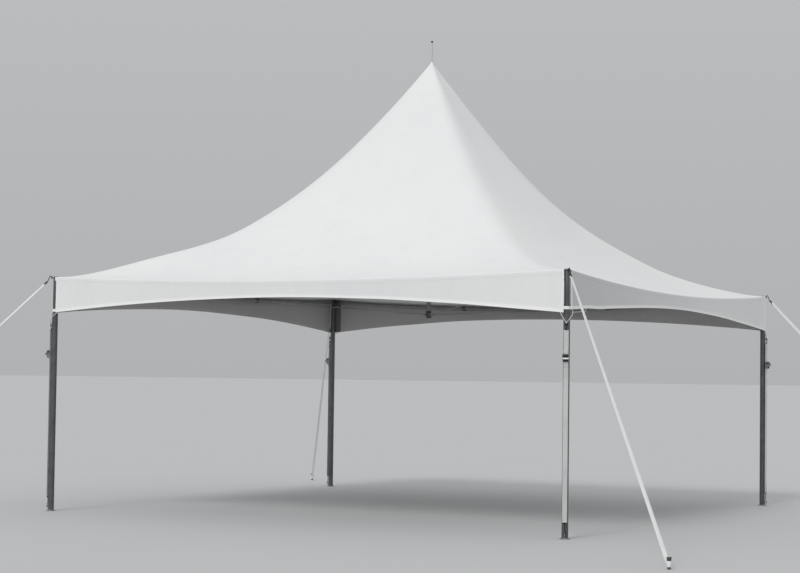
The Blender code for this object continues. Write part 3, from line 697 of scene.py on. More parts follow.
def makeCanopy():
    skin = joinPieces([makeGore(side) for side in sides])
    editFaces(skin)
    bpy.ops.mesh.remove_doubles(threshold=canopy["weldReach"])
    bpy.ops.mesh.normals_make_consistent(inside=False)
    bpy.ops.object.mode_set(mode="OBJECT")
    paint(skin, outerVinyl, paintedShadeVinyl, roofInnerVinylPaintedShade)
    # faces of the right side's lap take the copy with painted shade
    for face in skin.data.polygons:
        face.material_index = int(face.center.x > half and abs(face.normal.x) > 0.9)
    # the solidified inner faces take the roof's darker inner copy: painted shade
    area = thicken(skin, at(z=1), canopy["thick"], 2)
    settle(skin, "canopy", "canopy_vinyl", *[f"roof_{side}" for side in sides])
    print("canopy area", round(area, 2))
    return skin, area


canopySkin, canopyArea = makeCanopy()

# valances, each a hanging sheet with a roped hem and bound ends
valance = {"top": 0.012, "deep": 0.400, "arch": 0.15, "columns": 96, "rows": 12, "thick": 0.001,
           "behind": 0.0016, "ripple": 0.006, "waves": ((3.1, 0.25), (7.3, 0.15), (13.7, 0.10)),
           "flare": 0.004, "kick": 0.006, "hemTall": 0.030, "hemFront": 0.0018,
           "hemBack": -0.0030, "bead": 0.0042, "endWide": 0.022, "endRoll": 0.0040,
           "endThick": 0.0032, "flapHalf": 0.046, "flapThick": 0.0020,
           "ends": {"front": (0.038, 0.0205), "right": (0.0205, 0.0205), "back": (0.0205, 0.009),
                    "left": (-0.008, 0.0205)},
           # along each side from -half to half, how much lower the hem hangs than its arch
           "drops": {"front": ((-3.05, 0), (-0.3, 0), (0.9, 0.010), (1.8, 0.020), (2.5, 0.026),
                               (3.05, 0.022)),
                     "right": ((-3.05, -0.010), (-2.75, 0), (-2.2, 0.026), (-1.5, 0.034),
                               (0, 0.032), (1, 0.039), (2, 0.044), (3.05, 0.036)),
                     "back": ((-3.05, 0.030), (-1, 0.034), (1, 0.032), (2, 0.045), (3.05, 0.060)),
                     "left": ((-3.05, 0.060), (-1, 0.045), (1, 0.020), (3.05, 0.004))}}


def hemHeight(side, along):
    arch = canopy["corner"] - valance["deep"] + valance["arch"] * (1 - (along / half) ** 2)
    drops = valance["drops"][side]
    for (x0, d0), (x1, d1) in zip(drops, drops[1:]):
        if along <= x1 or x1 > 3:
            return arch - d0 - (d1 - d0) * ease(along, x0, x1)


def clothTop(side, along):
    return roofHeight(*facing(side, half, along)) - valance["top"]


def hemKick(along):
    # how far out the hem's lower edge leans, but not at the bound ends
    return valance["kick"] * ease(half - abs(along), 0.04, 0.12)


def ripple(side, along, share):
    # how far the cloth hangs in from its plane; share runs from the fold, 0, to the hem, 1
    phase = sides[side] * 0.021
    waves = 0.5
    for i, (tight, size) in enumerate(valance["waves"], 1):
        waves += size * sin(along * tight + i * phase)
    inward = valance["ripple"] * waves * ease(half - abs(along), 0.03, 0.35)
    inward -= valance["flare"] * ease(abs(along), half - 0.3, half - 0.04)
    # the last row, the hem's own, leans out
    last = max(0.0, share * valance["rows"] - valance["rows"] + 1)
    return inward * ease(share, 0.0, 1.0) - hemKick(along) * last


def valancePoint(side, along, share, proud=0.0):
    top = clothTop(side, along)
    out = edge - valance["behind"] - ripple(side, along, share) + proud
    return at(*facing(side, out, along), top + (hemHeight(side, along) - top) * share)


def makeHem(side, start, end):
    # a folded band with a rope in its lower edge, extruded along the arch
    tall, bead, columns = valance["hemTall"], valance["bead"], valance["columns"]
    front, back, neck = valance["hemFront"], valance["hemBack"], 2 * bead + 0.002
    outline = [(front, tall), (front, neck)]
    outline += [(bead * cos(radians(a)) - 0.0008, bead + bead * sin(radians(a)))
                for a in (50, 20, -10, -40, -70, -110, -140, -170, 160, 130)]
    outline += [(back, neck), (back, tall)]
    hem = addShape(bpy.ops.mesh.primitive_circle_add, vertices=len(outline), radius=0.01,
                   fill_type="NGON")
    spot, way = valancePoint(side, start, 1.0), at(*facing(side, 1, 0))
    for vertex, (out, up) in zip(hem.data.vertices, outline):
        vertex.co = spot + way * out + at(z=up)
    editFaces(hem)
    for i in range(1, columns + 1):
        nextSpot = valancePoint(side, start + (end - start) * i / columns, 1.0)
        bpy.ops.mesh.extrude_region_move(TRANSFORM_OT_translate={"value": nextSpot - spot})
        spot = nextSpot
    leaveEdit(hem, 40)
    for vertex in hem.data.vertices:
        along = vertex.co.dot(at(*facing(side, 0, 1)))
        low = hemHeight(side, along)
        row = (clothTop(side, along) - low) / valance["rows"]
        vertex.co -= way * hemKick(along) * min(1.0, max(0.0, (vertex.co.z - low) / row))
    paint(hem, hemVinyl, innerVinylPaintedShade)
    # faces turned inwards take the darker inner copy: painted shade
    for face in hem.data.polygons:
        face.material_index = int(face.normal.dot(way) < -0.3)
    return settle(hem, "hem" + side.title(), "canopy_vinyl")


def makeBinding(side, start, end):
    # both bound ends: a roll over the cloth's edge and a flat strip beside it
    parts, top = [], 0.03
    for way, along in ((-1, start), (1, end)):
        parts.append(makeTube(hemVinyl, valancePoint(side, along, 1.0) + at(z=0.002),
                              valancePoint(side, along, top), valance["endRoll"], 12))
        flat = makeGrid(2, valance["rows"], lambda across, up: valancePoint(
            side, along - way * valance["endWide"] * across, top + 0.95 * (1 - up), -0.0005))
        useModifier(flat, "SOLIDIFY", thickness=valance["endThick"], offset=0.0)
        parts.append(paint(finish(flat), hemVinyl))
    return settle(joinPieces(parts), "binding" + side.title(), "canopy_vinyl")


def makeFlap(side, end):
    # a dark strip inside, beside the post: a sheet whose dark colour is painted shade
    low, high = valancePoint(side, end, 1.0).z + 0.010, valancePoint(side, end, 0.0).z - 0.004
    deep, wide = valance["flapThick"] / 2, valance["flapHalf"]
    flap = makeBlock(paintedShadeFlap, (-deep, -wide, low), (deep, wide, high), 0.0006)
    spot = shifted(*facing(side, edge - 0.0052, end - 0.050))
    flap.data.transform(spot @ turned(radians(sides[side])))
    return settle(flap, "flap" + side.title(), "canopy_vinyl")


def makeValance(side):
    start, end = -half + valance["ends"][side][0], half - valance["ends"][side][1]
    cloth = makeGrid(valance["columns"], valance["rows"], lambda across, up: valancePoint(
        side, start + (end - start) * across, 1 - up * 0.999))
    # the right valance takes the copy with painted shade
    paint(cloth, paintedShadeVinyl if side == "right" else outerVinyl, innerVinylPaintedShade)
    # the solidified inner faces take the darker inner copy: painted shade
    area = thicken(cloth, at(*facing(side, 1, 0)), valance["thick"], 1)
    settle(cloth, "valance" + side.title(), "canopy_vinyl", f"valance_{side}")
    trims = [makeHem(side, start, end), makeBinding(side, start, end), makeFlap(side, end)]
    canopy["corner"] - 0.01 - hemHeight(side, end)
    return area


print("valances ready", [round(makeValance(side), 3) for side in sides])

# webbing sewn under the hips, from the peak to the corners
hipWeb = {"start": 0.20, "end": 2.96, "width": 0.045, "thick": 0.0018, "below": 0.0045, "cuts": 90}


def makeHipWeb(corner):
    near, far = hipWeb["start"] * sqrt(2), hipWeb["end"] * sqrt(2)
    band = makeBand(wornWebbing, hipWeb["width"], hipWeb["thick"], far - near, hipWeb["cuts"])
    out, across = outward(corner), sideways(corner)
    for vertex in band.data.vertices:
        spot = out * (near + vertex.co.z) + across * vertex.co.x
        height = roofHeight(spot.x, spot.y) - hipWeb["below"] + vertex.co.y
        vertex.co = (spot.x, spot.y, height)
    return settle(finish(band), "hipWeb" + label(corner), "webbing")


hipWebs = [makeHipWeb(corner) for corner in corners]
print("canopy ready")

# eave rails, with sleeve joints a third of a side from each corner
rail = {"radius": 0.0254, "wall": 0.0025, "inset": 0.040, "below": 0.0375, "short": 0.130,
        "cuts": 35, "collar": 0.0300, "collarHalf": 0.030, "bolt": 0.0065, "boltsApart": 0.018,
        "boltFrom": 0.028, "boltTo": 0.036}


def railHeight(side, along):
    return canopy["corner"] - canopy["dips"][side] * (1 - (along / half) ** 2) - rail["below"]


def makeRail(side):
    end, out = half - rail["short"], half - rail["inset"]
    tube = makeTube(railAluminium, (out, -end, 0), (out, end, 0), rail["radius"], 28,
                    wall=rail["wall"])
    editEdges(tube, lambda a, b: abs(a.y - b.y) > 1)
    bpy.ops.mesh.subdivide(number_cuts=rail["cuts"])
    parts = [leaveEdit(tube, 40)]
    for joint in (-half / 3, half / 3):
        parts.append(makeTube(casting, (out, joint - rail["collarHalf"], 0),
                              (out, joint + rail["collarHalf"], 0), rail["collar"], bevel=0.0015))
        for along in (joint - rail["boltsApart"], joint + rail["boltsApart"]):
            parts.append(makeTube(zincPlate, (out - rail["boltFrom"], along, -0.004),
                                  (out - rail["boltTo"], along, -0.004), rail["bolt"], 6,
                                  bevel=0.001))
    whole = joinPieces(parts)
    for vertex in whole.data.vertices:
        vertex.co.z += railHeight(side, vertex.co.y)
    whole.data.transform(turned(radians(sides[side])))
    settle(whole, "rail" + side.title(), "frame_aluminium", f"eave_rail_{side}")


for side in sides:
    makeRail(side)

# legs, in the strap's own frame: x points out to the side where the strap runs
leg = {"radius": 0.03175, "wall": 0.0032, "top": 2.155, "foot": 0.050, "footThick": 0.008,
       "ringHeight": 0.040, "ring": 0.014, "ringWire": 0.004, "post": 0.0254, "holesOut": 0.0414,
       "hole": 0.0048, "button": 0.0055, "collarTall": 0.012, "collarWide": 0.0012}


def makeLeg():
    radius, top = leg["radius"], leg["top"]
    tube = makeUpright(aluminium, 0.004, top, radius, 40, wall=leg["wall"], recess=0.062)
    foot = makeUpright(galvanised, 0, leg["footThick"], leg["foot"], 48, bevel=0.0018)
    for turn in (45, 135, 225, 315):
        drill = makeUpright(galvanised, -0.01, 0.02, leg["hole"], 20)
        drill.data.transform(shifted(leg["holesOut"] * cos(radians(turn)),
                                     leg["holesOut"] * sin(radians(turn))))
        useModifier(foot, "BOOLEAN", operation="DIFFERENCE", solver="EXACT", object=drill)
        bpy.data.objects.remove(drill, do_unlink=True)
    weld = makeRing(galvanised, (0, 0, leg["footThick"] + 0.0006), (0, 0, 1), radius + 0.001,
                    0.0032, 48, 10)
    eye = makeRing(galvanised, (radius + leg["ring"] - leg["ringWire"] / 2, 0, leg["ringHeight"]),
                   (0, 1, 0), leg["ring"], leg["ringWire"])
    button = finish(makeBall(zincPlate, (-radius, 0, top - 0.035), leg["button"], 20, 12))
    collar = makeUpright(aluminium, top - leg["collarTall"], top - 0.0005,
                         radius + leg["collarWide"], 40, bevel=0.001)
    editFaces(collar, lambda centre, normal: abs(normal.z) > 0.9 and centre.xy.length < 0.01)
    bpy.ops.mesh.inset(thickness=0.0034)
    bpy.ops.mesh.delete(type="FACE")
    bpy.ops.object.mode_set(mode="OBJECT")
    return joinPieces([tube, foot, weld, eye, button, collar])


atCorners(makeLeg(), "leg", strapSpot, "frame_aluminium", "leg")
print("legs and rails ready")

# corner fittings: the upper post, the rails' sleeves, the cable's lug and the guy's ring
fitting = {"top": 2.565, "postFrom": 2.096, "sleeve": 0.0275, "past": 0.030, "rimWide": 0.0014,
           "rimLong": 0.010, "bolts": (0.028, 0.060), "gusset": 0.052, "gussetIn": 0.086,
           "lugReach": 0.105, "lugTall": 0.034, "lugHeight": 2.465, "lugFrom": 0.018,
           "lugPast": 0.012, "cheek": 0.004, "cheekGap": 0.0078, "pin": 0.0045,
           "ringDrop": 0.014, "bead": 0.0055, "beadIn": 0.0135, "beadsApart": 0.0050}


def makeFitting(corner):
    sx, sy = corners[corner]
    out, across = outward(corner), sideways(corner)
    parts = [makeTube(aluminium, legSpot(corner, fitting["postFrom"]),
                      legSpot(corner, fitting["top"]), leg["post"], 36, bevel=0.009)]
    elbow, end = half - rail["inset"], half - rail["short"]
    start = end + 0.0003
    for side in cornerSides[corner]:
        slope = 2 * canopy["dips"][side] * end / half ** 2

        def onSleeve(along, drop=0.0):
            height = railHeight(side, end) + slope * (along - start) - drop
            if side in ("right", "left"):
                return at(sx * elbow, sy * along, height)
            return at(sx * along, sy * elbow, height)

        parts.append(makeTube(casting, onSleeve(start), onSleeve(elbow + fitting["past"]),
                              fitting["sleeve"], wall=0.0020, bevel=0.0008, recess=0.004))
        parts.append(makeTube(casting, onSleeve(start), onSleeve(start + fitting["rimLong"]),
                              fitting["sleeve"] + fitting["rimWide"], bevel=0.0012))
        for along in fitting["bolts"]:
            for low, high, radius, facets, bevel in ((0.0265, 0.0345, 0.0068, 6, 0.001),
                                                     (0.0262, 0.0285, 0.0090, 20, 0)):
                parts.append(makeTube(zincPlate, onSleeve(start + along, low),
                                      onSleeve(start + along, high), radius, facets, bevel=bevel))
    gusset = finish(addShape(bpy.ops.mesh.primitive_cylinder_add, vertices=3, depth=0.006,
                             radius=fitting["gusset"], rotation=(0, 0, pi / 2)))
    gusset.data.transform(shifted(-fitting["gussetIn"], 0, railHeight("front", half) - 0.002))
    low = fitting["lugHeight"] - fitting["lugTall"] / 2
    wide = fitting["cheekGap"] + fitting["cheek"]
    cheeks = makePair(casting, (-fitting["lugReach"] - fitting["lugPast"], low),
                      (-fitting["lugFrom"], low + fitting["lugTall"]), fitting["cheekGap"],
                      fitting["cheek"], 0.009, 4)
    parts += moveAll([paint(gusset, casting)] + cheeks, cornerSpot(corner))
    pin = legSpot(corner, fitting["lugHeight"]) - out * fitting["lugReach"]
    parts.append(makeBolt(zincPlate, pin - across * wide, pin + across * wide, fitting["pin"], 1.7))
    ring = legSpot(corner, fitting["top"] - fitting["ringDrop"])
    ring += out * (leg["post"] + leg["ring"] - leg["ringWire"] / 2)
    parts.append(makeRing(darkSteel, ring, (0, 0, 1), leg["ring"], leg["ringWire"]))
    for way in (-1, 1):
        spot = ring - out * fitting["beadIn"] + across * way * fitting["beadsApart"]
        parts.append(makeBall(darkSteel, spot, fitting["bead"], 14))
    settle(joinPieces(parts), "fitting" + label(corner), "bracket_metal",
           f"corner_bracket_{corner}")


for corner in corners:
    makeFitting(corner)

# mast, its foot with the cables' ears, and the finial above the peak
mast = {"radius": 0.024, "foot": 0.031, "footLow": 2.200, "footTall": 0.080, "top": 5.148,
        "earFrom": -0.004, "earTo": 0.019, "earHalf": 0.011, "earGap": 0.0045, "earThick": 0.0035,
        "pinOut": 0.012, "pin": 0.0036, "nut": 0.0095, "rod": 0.0110, "tip": 5.445,
        "cap": 0.0125, "capTall": 0.020, "boot": (0.020, 0.0122), "bootTall": 0.026}


def makeMast():
    low, high = mast["footLow"], mast["footLow"] + mast["footTall"]
    tube = makeUpright(railAluminium, high + 0.0003, mast["top"], mast["radius"], 36)
    settle(tube, "mastTube", "frame_aluminium", "mast")
    foot = makeUpright(casting, low, high, mast["foot"], 36, bevel=0.003)
    editFaces(foot, lambda centre, normal: abs(normal.z) < 0.2)
    bpy.ops.mesh.bisect(plane_co=(0, 0, high - 0.016), plane_no=(0, 0, 1))
    parts = [leaveEdit(foot),
             makeUpright(darkSteel, high - 0.014, high - 0.003, mast["foot"] + 0.0022, 36,
                         bevel=0.0015),
             makeUpright(casting, low + 0.003, low + 0.012, mast["foot"] + 0.0018, 36,
                         bevel=0.0015),
             makeUpright(zincPlate, low - 0.005, low + 0.001, mast["nut"], 6, bevel=0.001)]
    middle, pinOut = (low + high) / 2, mast["foot"] + mast["pinOut"]
    wide = mast["earGap"] + mast["earThick"]
    for corner in corners:
        ears = makePair(casting, (mast["foot"] + mast["earFrom"], middle - mast["earHalf"]),
                        (mast["foot"] + mast["earTo"], middle + mast["earHalf"]),
                        mast["earGap"], mast["earThick"], 0.006, 4)
        pin = makeBolt(zincPlate, (pinOut, -wide, middle), (pinOut, wide, middle), mast["pin"], 1.5)
        parts += moveAll(ears + [pin], diagonalSpot(corner))
    settle(joinPieces(parts), "mastBase", "bracket_metal", "mast_foot")

    rod = makeUpright(paleRod, mast["top"] + 0.0005, mast["tip"] - mast["capTall"], mast["rod"], 28)
    cap = makeUpright(blackRubber, mast["tip"] - mast["capTall"], mast["tip"], mast["cap"],
                      bevel=0.005)
    seat = roofHeight(mast["rod"] + 0.001, 0)
    boot = addShape(bpy.ops.mesh.primitive_cone_add, vertices=32, radius1=mast["boot"][0],
                    radius2=mast["boot"][1], depth=mast["bootTall"], location=(0, 0, seat + 0.003))
    editFaces(boot, lambda centre, normal: abs(normal.z) > 0.9 and centre.z > seat)
    bpy.ops.mesh.bevel(offset=0.001, segments=2, affect="EDGES")
    paint(leaveEdit(boot), outerVinyl)
    settle(joinPieces([rod, cap, boot]), "finialPost", "finial_dark", "finial")


makeMast()
print("mast ready")

# wire ropes from the corner lugs down to the mast's foot, along each diagonal
cable = {"radius": 0.005, "lay": 0.085, "strands": 6, "socket": 0.008, "socketLong": 0.070,
         "socketFrom": 0.012, "neckLong": 0.012, "neck": 0.0064, "eye": 0.0125, "eyeHalf": 0.0040,
         "tongue": 0.0050, "outer": sqrt(2) * half - 0.105, "outerHeight": 2.465,
         "inner": 0.043, "innerHeight": 2.240}


def makeCable():
    low = at(cable["inner"], 0, cable["innerHeight"])
    high = at(cable["outer"], 0, cable["outerHeight"])
    parts = [makeRope(cableSteel, [low.lerp(high, i / 8) for i in range(9)], cable["radius"],
                      cable["lay"], cable["strands"], 8, 0)]
    for foot, head in ((low, high), (high, low)):
        way = (head - foot).normalized()
        near = foot + way * cable["socketFrom"]
        far, eye = near + way * cable["socketLong"], at(y=cable["eyeHalf"])
        parts += [makeTube(galvanised, near, far, cable["socket"], 24, bevel=0.0025),
                  makeTube(galvanised, far - way * 0.004, far + way * cable["neckLong"],
                           cable["neck"], 20, bevel=0.001),
                  makeTube(galvanised, foot - eye, foot + eye, cable["eye"], 28, bevel=0.0012),
                  makeTube(galvanised, foot, near + way * 0.006, cable["tongue"], 16)]
    return joinPieces(parts)


atCorners(makeCable(), "cable", diagonalSpot, "steel_cable", "mast_cable")
print("cables ready")

# webbing, yokes and stitching shared by the guys and the hold-down straps
sewing = {"width": 0.048, "thick": 0.0024, "lap": 0.085, "lapCuts": 6, "stitch": 0.0042,
          "pitch": 0.0064, "inset": 0.006, "thread": 0.0009, "threadTall": 0.0007,
          "yokeHalf": 0.0265, "yokeWire": 0.0033, "yokeBend": 0.0045}


def makeStitches(lines, height):
    # rows of short stitches lying on a band's face, each line from (x, z) to (x, z)
    rows = []
    wide, tall = sewing["thread"] / 2, sewing["threadTall"] / 2
    for (x0, z0), (x1, z1) in lines:
        run = at(x1 - x0, 0, z1 - z0)
        way = run.normalized()
        stitch = makeBlock(stitchThread, (-wide, -tall, 0), (wide, tall, sewing["stitch"]),
                           0.00025, 1, along=2)
        stitch.data.transform(shifted(x0, height, z0) @ turned(atan2(way.x, way.z), "Y"))
        rows.append(useModifier(stitch, "ARRAY", count=max(2, int(run.length / sewing["pitch"])),
                                use_relative_offset=False, use_constant_offset=True,
                                constant_offset_displace=way * sewing["pitch"]))
    return joinPieces(rows)


def sewnEnd(cloth, low, high, front):
    # the folded end: a second layer with a sewn box and cross on it
    thick = sewing["thick"]
    lap = makeBand(cloth, sewing["width"], thick * 0.95, high - low, sewing["lapCuts"])
    lap.data.transform(shifted(0, front * thick * 0.97, low))
    x, z0, z1 = sewing["width"] / 2 - sewing["inset"], low + 0.008, high - 0.012
    lines = [((-x, z0), (-x, z1)), ((x, z0), (x, z1)), ((-x, z0), (x, z0)), ((-x, z1), (x, z1)),
             ((-x, z0), (x, z1)), ((x, z0), (-x, z1))]
    return [lap, makeStitches(lines, front * (thick * 1.45 + 0.0002)),
            makeStitches(lines, -front * (thick * 0.5 + 0.0002))]


def makeFold(cloth, radius, height, out=0.0):
    # the half turn of webbing over a bar that lies across it
    fold = addShape(bpy.ops.mesh.primitive_cylinder_add, vertices=28, radius=radius,
                    depth=sewing["width"], location=(0, out, height), rotation=(0, pi / 2, 0))
    editFaces(fold, lambda centre, normal: abs(normal.x) > 0.9)
    insetTwice(sewing["thick"] * 0.9, 0.0002, -0.002)
    leaveEdit(fold)
    layUv(fold, lambda spot: (spot.x, atan2(spot.z - height, spot.y - out) * radius))
    return paint(fold, cloth)


def makeYoke(high, low=0.0):
    # the wire triangle at a hook's end; its base bar carries the folded webbing
    reach, bend = sewing["yokeHalf"], sewing["yokeBend"]
    arm, lean = hypot(reach, high - low), atan2(reach, high - low)
    turn = pi / 2 + lean
    cut = bend * sin(turn) / (1 + cos(turn))
    steps = [(arm - cut,), (degrees(turn), bend, at(1)), (2 * reach - 2 * cut,),
             (degrees(turn), bend, at(z=1)), (arm - cut,)]
    return bendWire(darkSteel, at(z=high), at(-reach, 0, low - high), steps, sewing["yokeWire"])


# guy straps: webbing that twists on its way from each stake up to the corner's hook
guy = {"ring": 0.0374, "height": 2.551, "seat": 0.0058, "wire": 0.0042, "bend": 0.0125,
       "neck": 0.005, "tail": 0.012, "hook": 0.083, "hookEnd": 0.030, "lastBend": 0.012,
       "barrel": 0.0095, "webbingEnd": 0.034, "fold": 0.0060, "cuts": 90, "loop": 0.0185,
       "loopMiddle": 0.044, "choke": 0.0105,
       "stakes": {"front_right": (1.852, 2.202), "front_left": (1.852, 1.852),
                  "back_left": (1.012, 1.212), "back_right": (1.852, 2.202)},
       # degrees: the turn at the stake and the further twist up to the hook
       "turns": {"front_right": (-20, -22), "front_left": (0, -16), "back_left": (-35, -20),
                 "back_right": (-20, -104)}}


def stakeAt(corner):
    sx, sy = corners[corner]
    x, y = guy["stakes"][corner]
    return legSpot(corner) + at(sx * x, sy * y)


def makeGuyHook(pull, top):
    # a wire up through the level ring, over its rim and down into the barrel
    bend, last = guy["bend"], guy["lastBend"]
    middle = at(guy["seat"] + bend, 0, guy["height"] + guy["neck"])
    gap = top - pull * guy["hookEnd"] - middle
    near = sqrt(gap.length_squared - bend ** 2)
    # first the wire turns until it points at the barrel, then into line with the pull
    turn = pi - atan2(gap.z, gap.x) - atan2(near, bend)
    rest = turn - atan2(pull.x, pull.z)
    trim = last * rest / 2
    steps = [(guy["tail"] + guy["neck"],), (degrees(turn), bend, at(1)), (near - trim,),
             (degrees(rest), last, at(1, 0, 0.6)), (0.026 - trim,)]
    return bendHook(at(guy["seat"], 0, guy["height"] - guy["tail"]), (0, 0, 1), steps, guy["wire"])


def makeGuy(corner):
    # made in a frame of its own, from the corner's ring towards the stake
    ringAt = legSpot(corner) + outward(corner) * guy["ring"]
    run = stakeAt(corner) - ringAt
    reach, middle, radius = run.length, guy["loopMiddle"], guy["loop"]
    eye = at(guy["seat"] + guy["wire"], 0, guy["height"])
    foot = at(reach - radius + 0.0015, 0, middle)
    pull = (foot - eye).normalized()
    top = eye + pull * guy["hook"]
    length = (top - foot).length
    end, lap = length - guy["webbingEnd"], sewing["lap"]
    parts = [makeBand(whiteWebbing, sewing["width"], sewing["thick"], end, guy["cuts"])]
    parts += sewnEnd(whiteWebbing, end - lap, end, 1) + sewnEnd(whiteWebbing, 0.004, 0.004 + lap, 1)
    parts += [makeFold(whiteWebbing, guy["fold"], end + 0.001, 0.001),
              makeYoke(length - 0.004, end + 0.001)]
    band = joinPieces(parts)
    lean, twist = guy["turns"][corner]
    for vertex in band.data.vertices:
        x, y, z = vertex.co
        turn = -radians(lean + twist * min(1.0, max(0.0, z / length)))
        vertex.co = (x * cos(turn) - y * sin(turn), x * sin(turn) + y * cos(turn), z)
    across, up = at(y=1), -pull
    basis = Matrix((across, up.cross(across), up)).transposed().to_4x4()
    band.data.transform(shifted(*foot) @ basis)
    barrel = makeTube(darkSteel, top - pull * 0.020, top + pull * 0.012, guy["barrel"], 24,
                      bevel=0.0016)
    wide = sewing["width"] / 2
    loop = makeTube(whiteWebbing, (reach, 0, middle - wide), (reach, 0, middle + wide), radius,
                    wall=0.0026, bevel=0.0005, recess=0.004)
    layUv(loop, lambda spot: (spot.z - middle, atan2(spot.y, spot.x - reach) * radius))
    choke = makeTube(whiteWebbing, (reach - 0.0165, 0, 0.036), (reach - 0.0225, 0, 0.0505),
                     guy["choke"], 24, bevel=0.003)
    whole = joinPieces([band, barrel, loop, choke] + makeGuyHook(pull, top))
    whole.data.transform(shifted(*ringAt) @ turned(atan2(run.y, run.x)))
    settle(whole, "guyStrap" + label(corner), "webbing", f"guy_strap_{corner}")


for corner in corners:
    makeGuy(corner)

# stakes, driven in; only what stands above the ground is made
stake = {"radius": 0.0137, "tall": 0.100, "head": 0.021, "headTall": 0.018, "collar": 0.0180,
         "collarTall": 0.016}


def makeStake():
    head = stake["tall"] - stake["headTall"]
    shaft = makeUpright(stakeSteel, 0, head + 0.002, stake["radius"], 28)
    cap = makeUpright(stakeSteel, head, stake["tall"], stake["head"], bevel=0.005)
    editFaces(cap, lambda centre, normal: normal.z > 0.99)
    insetTwice(0.007, 0.004, -0.0008)
    leaveEdit(cap)
    return joinPieces([shaft, cap, makeUpright(stakeSteel, head - stake["collarTall"], head,
                                               stake["collar"], 28, bevel=0.003)])


atCorners(makeStake(), "stake", lambda corner: shifted(*stakeAt(corner)), "dark_steel", "stake")
print("guys and stakes ready")

# hold-down straps, in the strap's own frame, and the ratchets that tighten them
strap = {"out": 0.046, "low": 0.150, "high": 1.985, "ringEye": (0.046, 0, 2.035), "cuts": 24,
         "anchor": (0.062, 1.688), "spool": (0.066, 1.735), "roll": 0.0130, "fold": 0.0050,
         "hookWire": 0.0035, "hookBend": 0.007, "seat": 0.0069, "clear": 0.0105,
         "barrel": 0.0072, "barrelHalf": 0.010, "runThick": 0.0018,
         # out and up: from the strap to the spool above and to the anchor below
         "runs": (((0.0480, 1.800), (0.0535, 1.741)), ((0.0480, 1.622), (0.0570, 1.682))),
         "footHook": {"eye": (0.04375, 0, 0.040), "side": (0, 1, 0), "tail": 0.013, "rim": 0.0240,
                      "curve": 0.014, "lean": 25},
         "ringHook": {"eye": (0.046, 0, 2.035), "side": (1, 0, 0), "tail": 0.008, "rim": 0.0175,
                      "curve": 0.008, "lean": 35}}


def makeHook(hook, end):
    # a J of wire: through the ring at eye, round its rim, then back in line with the pull
    eye, side, tail = Vector(hook["eye"]), Vector(hook["side"]), hook["tail"]
    seat, clear, bend = strap["seat"], strap["clear"], strap["hookBend"]
    curve, lean, turn = hook["curve"], hook["lean"], radians(hook["lean"])
    pull = (end - eye).normalized()
    slant = (clear - 2 * curve * (1 - cos(turn))) / sin(turn)
    used = hook["rim"] + 2 * curve * sin(turn) + slant * cos(turn)
    steps = [(tail + clear - bend,), (90, bend, pull), (hook["rim"] - seat - bend,),
             (lean, curve, -side), (slant,), (lean, curve, side), ((end - eye).length - used,)]
    return bendHook(eye + pull * seat - side * tail, side, steps, strap["hookWire"])


def makeLegStrap():
    low, high, across = strap["low"] + 0.014, strap["high"] - 0.012, turned(pi / 2)
    length, lap, out = high - low, sewing["lap"], strap["out"]
    parts = [makeBand(wornWebbing, sewing["width"], sewing["thick"], length, strap["cuts"])]
    parts += sewnEnd(wornWebbing, 0.003, 0.003 + lap, -1)
    parts += sewnEnd(wornWebbing, length - lap, length - 0.002, -1)
    parts += [makeFold(wornWebbing, strap["fold"], height) for height in (-0.001, length + 0.001)]
    # the band's width runs across the leg and its folded layers lie outwards
    parts = moveAll([joinPieces(parts)], shifted(out, 0, low) @ across)
    parts += moveAll([makeYoke(0.016)], shifted(out, 0, low - 0.001) @ across @ turned(pi, "X"))
    parts += moveAll([makeYoke(0.014)], shifted(out, 0, high + 0.001) @ across)
    for hook, height in (("footHook", strap["low"]), ("ringHook", strap["high"])):
        parts += makeHook(strap[hook], at(out, 0, height))
        parts.append(makeTube(darkSteel, (out, 0, height - strap["barrelHalf"]),
                              (out, 0, height + strap["barrelHalf"]), strap["barrel"], 20,
                              bevel=0.0014))
    for (x0, z0), (x1, z1) in strap["runs"]:
        run = at(x1 - x0, 0, z1 - z0)
        band = makeBand(wornWebbing, sewing["width"] - 0.002, strap["runThick"], run.length, 6)
        band.data.transform(shifted(x0, 0, z0) @ turned(atan2(run.x, run.z), "Y") @ across)
        parts.append(band)
    return joinPieces(parts)


atCorners(makeLegStrap(), "legStrap", strapSpot, "webbing", "leg_strap")

ratchet = {"inner": 0.0265, "plate": 0.003, "back": 0.040, "front": 0.078, "low": 1.672,
           "high": 1.756, "wheel": 0.0172, "teeth": 13, "wheelFrom": 0.0297, "wheelTo": 0.0310,
           "valley": 0.84, "boltHalf": 0.0296, "bolt": 0.0046, "anchorRoll": 0.0078,
           "mandrel": 0.0060, "spacers": ((0.0520, 1.7490), (0.0575, 1.6775)),
           "spacerHalf": 0.0268, "spacer": 0.0030}


def makeCross(material, out, height, wide, radius, facets):
    return makeTube(material, (out, -wide, height), (out, wide, height), radius, facets)


def makeRoll(radius, out, height, wide):
    # webbing wound on a bar that lies across the strap, coloured dark steel: painted shade for the
    # dark bands at the spool and the anchor
    roll = addShape(bpy.ops.mesh.primitive_cylinder_add, vertices=32, radius=radius, depth=wide,
                    location=(out, 0, height), rotation=(pi / 2, 0, 0))
    editFaces(roll, lambda centre, normal: abs(normal.y) > 0.9)
    for depth in (-0.0012, 0.0008, -0.0012):
        insetTwice(0.0017, 0.0004, depth)
    leaveEdit(roll)
    layUv(roll, lambda spot: (spot.y, atan2(spot.z - height, spot.x - out) * radius))
    return paint(roll, darkSteel)


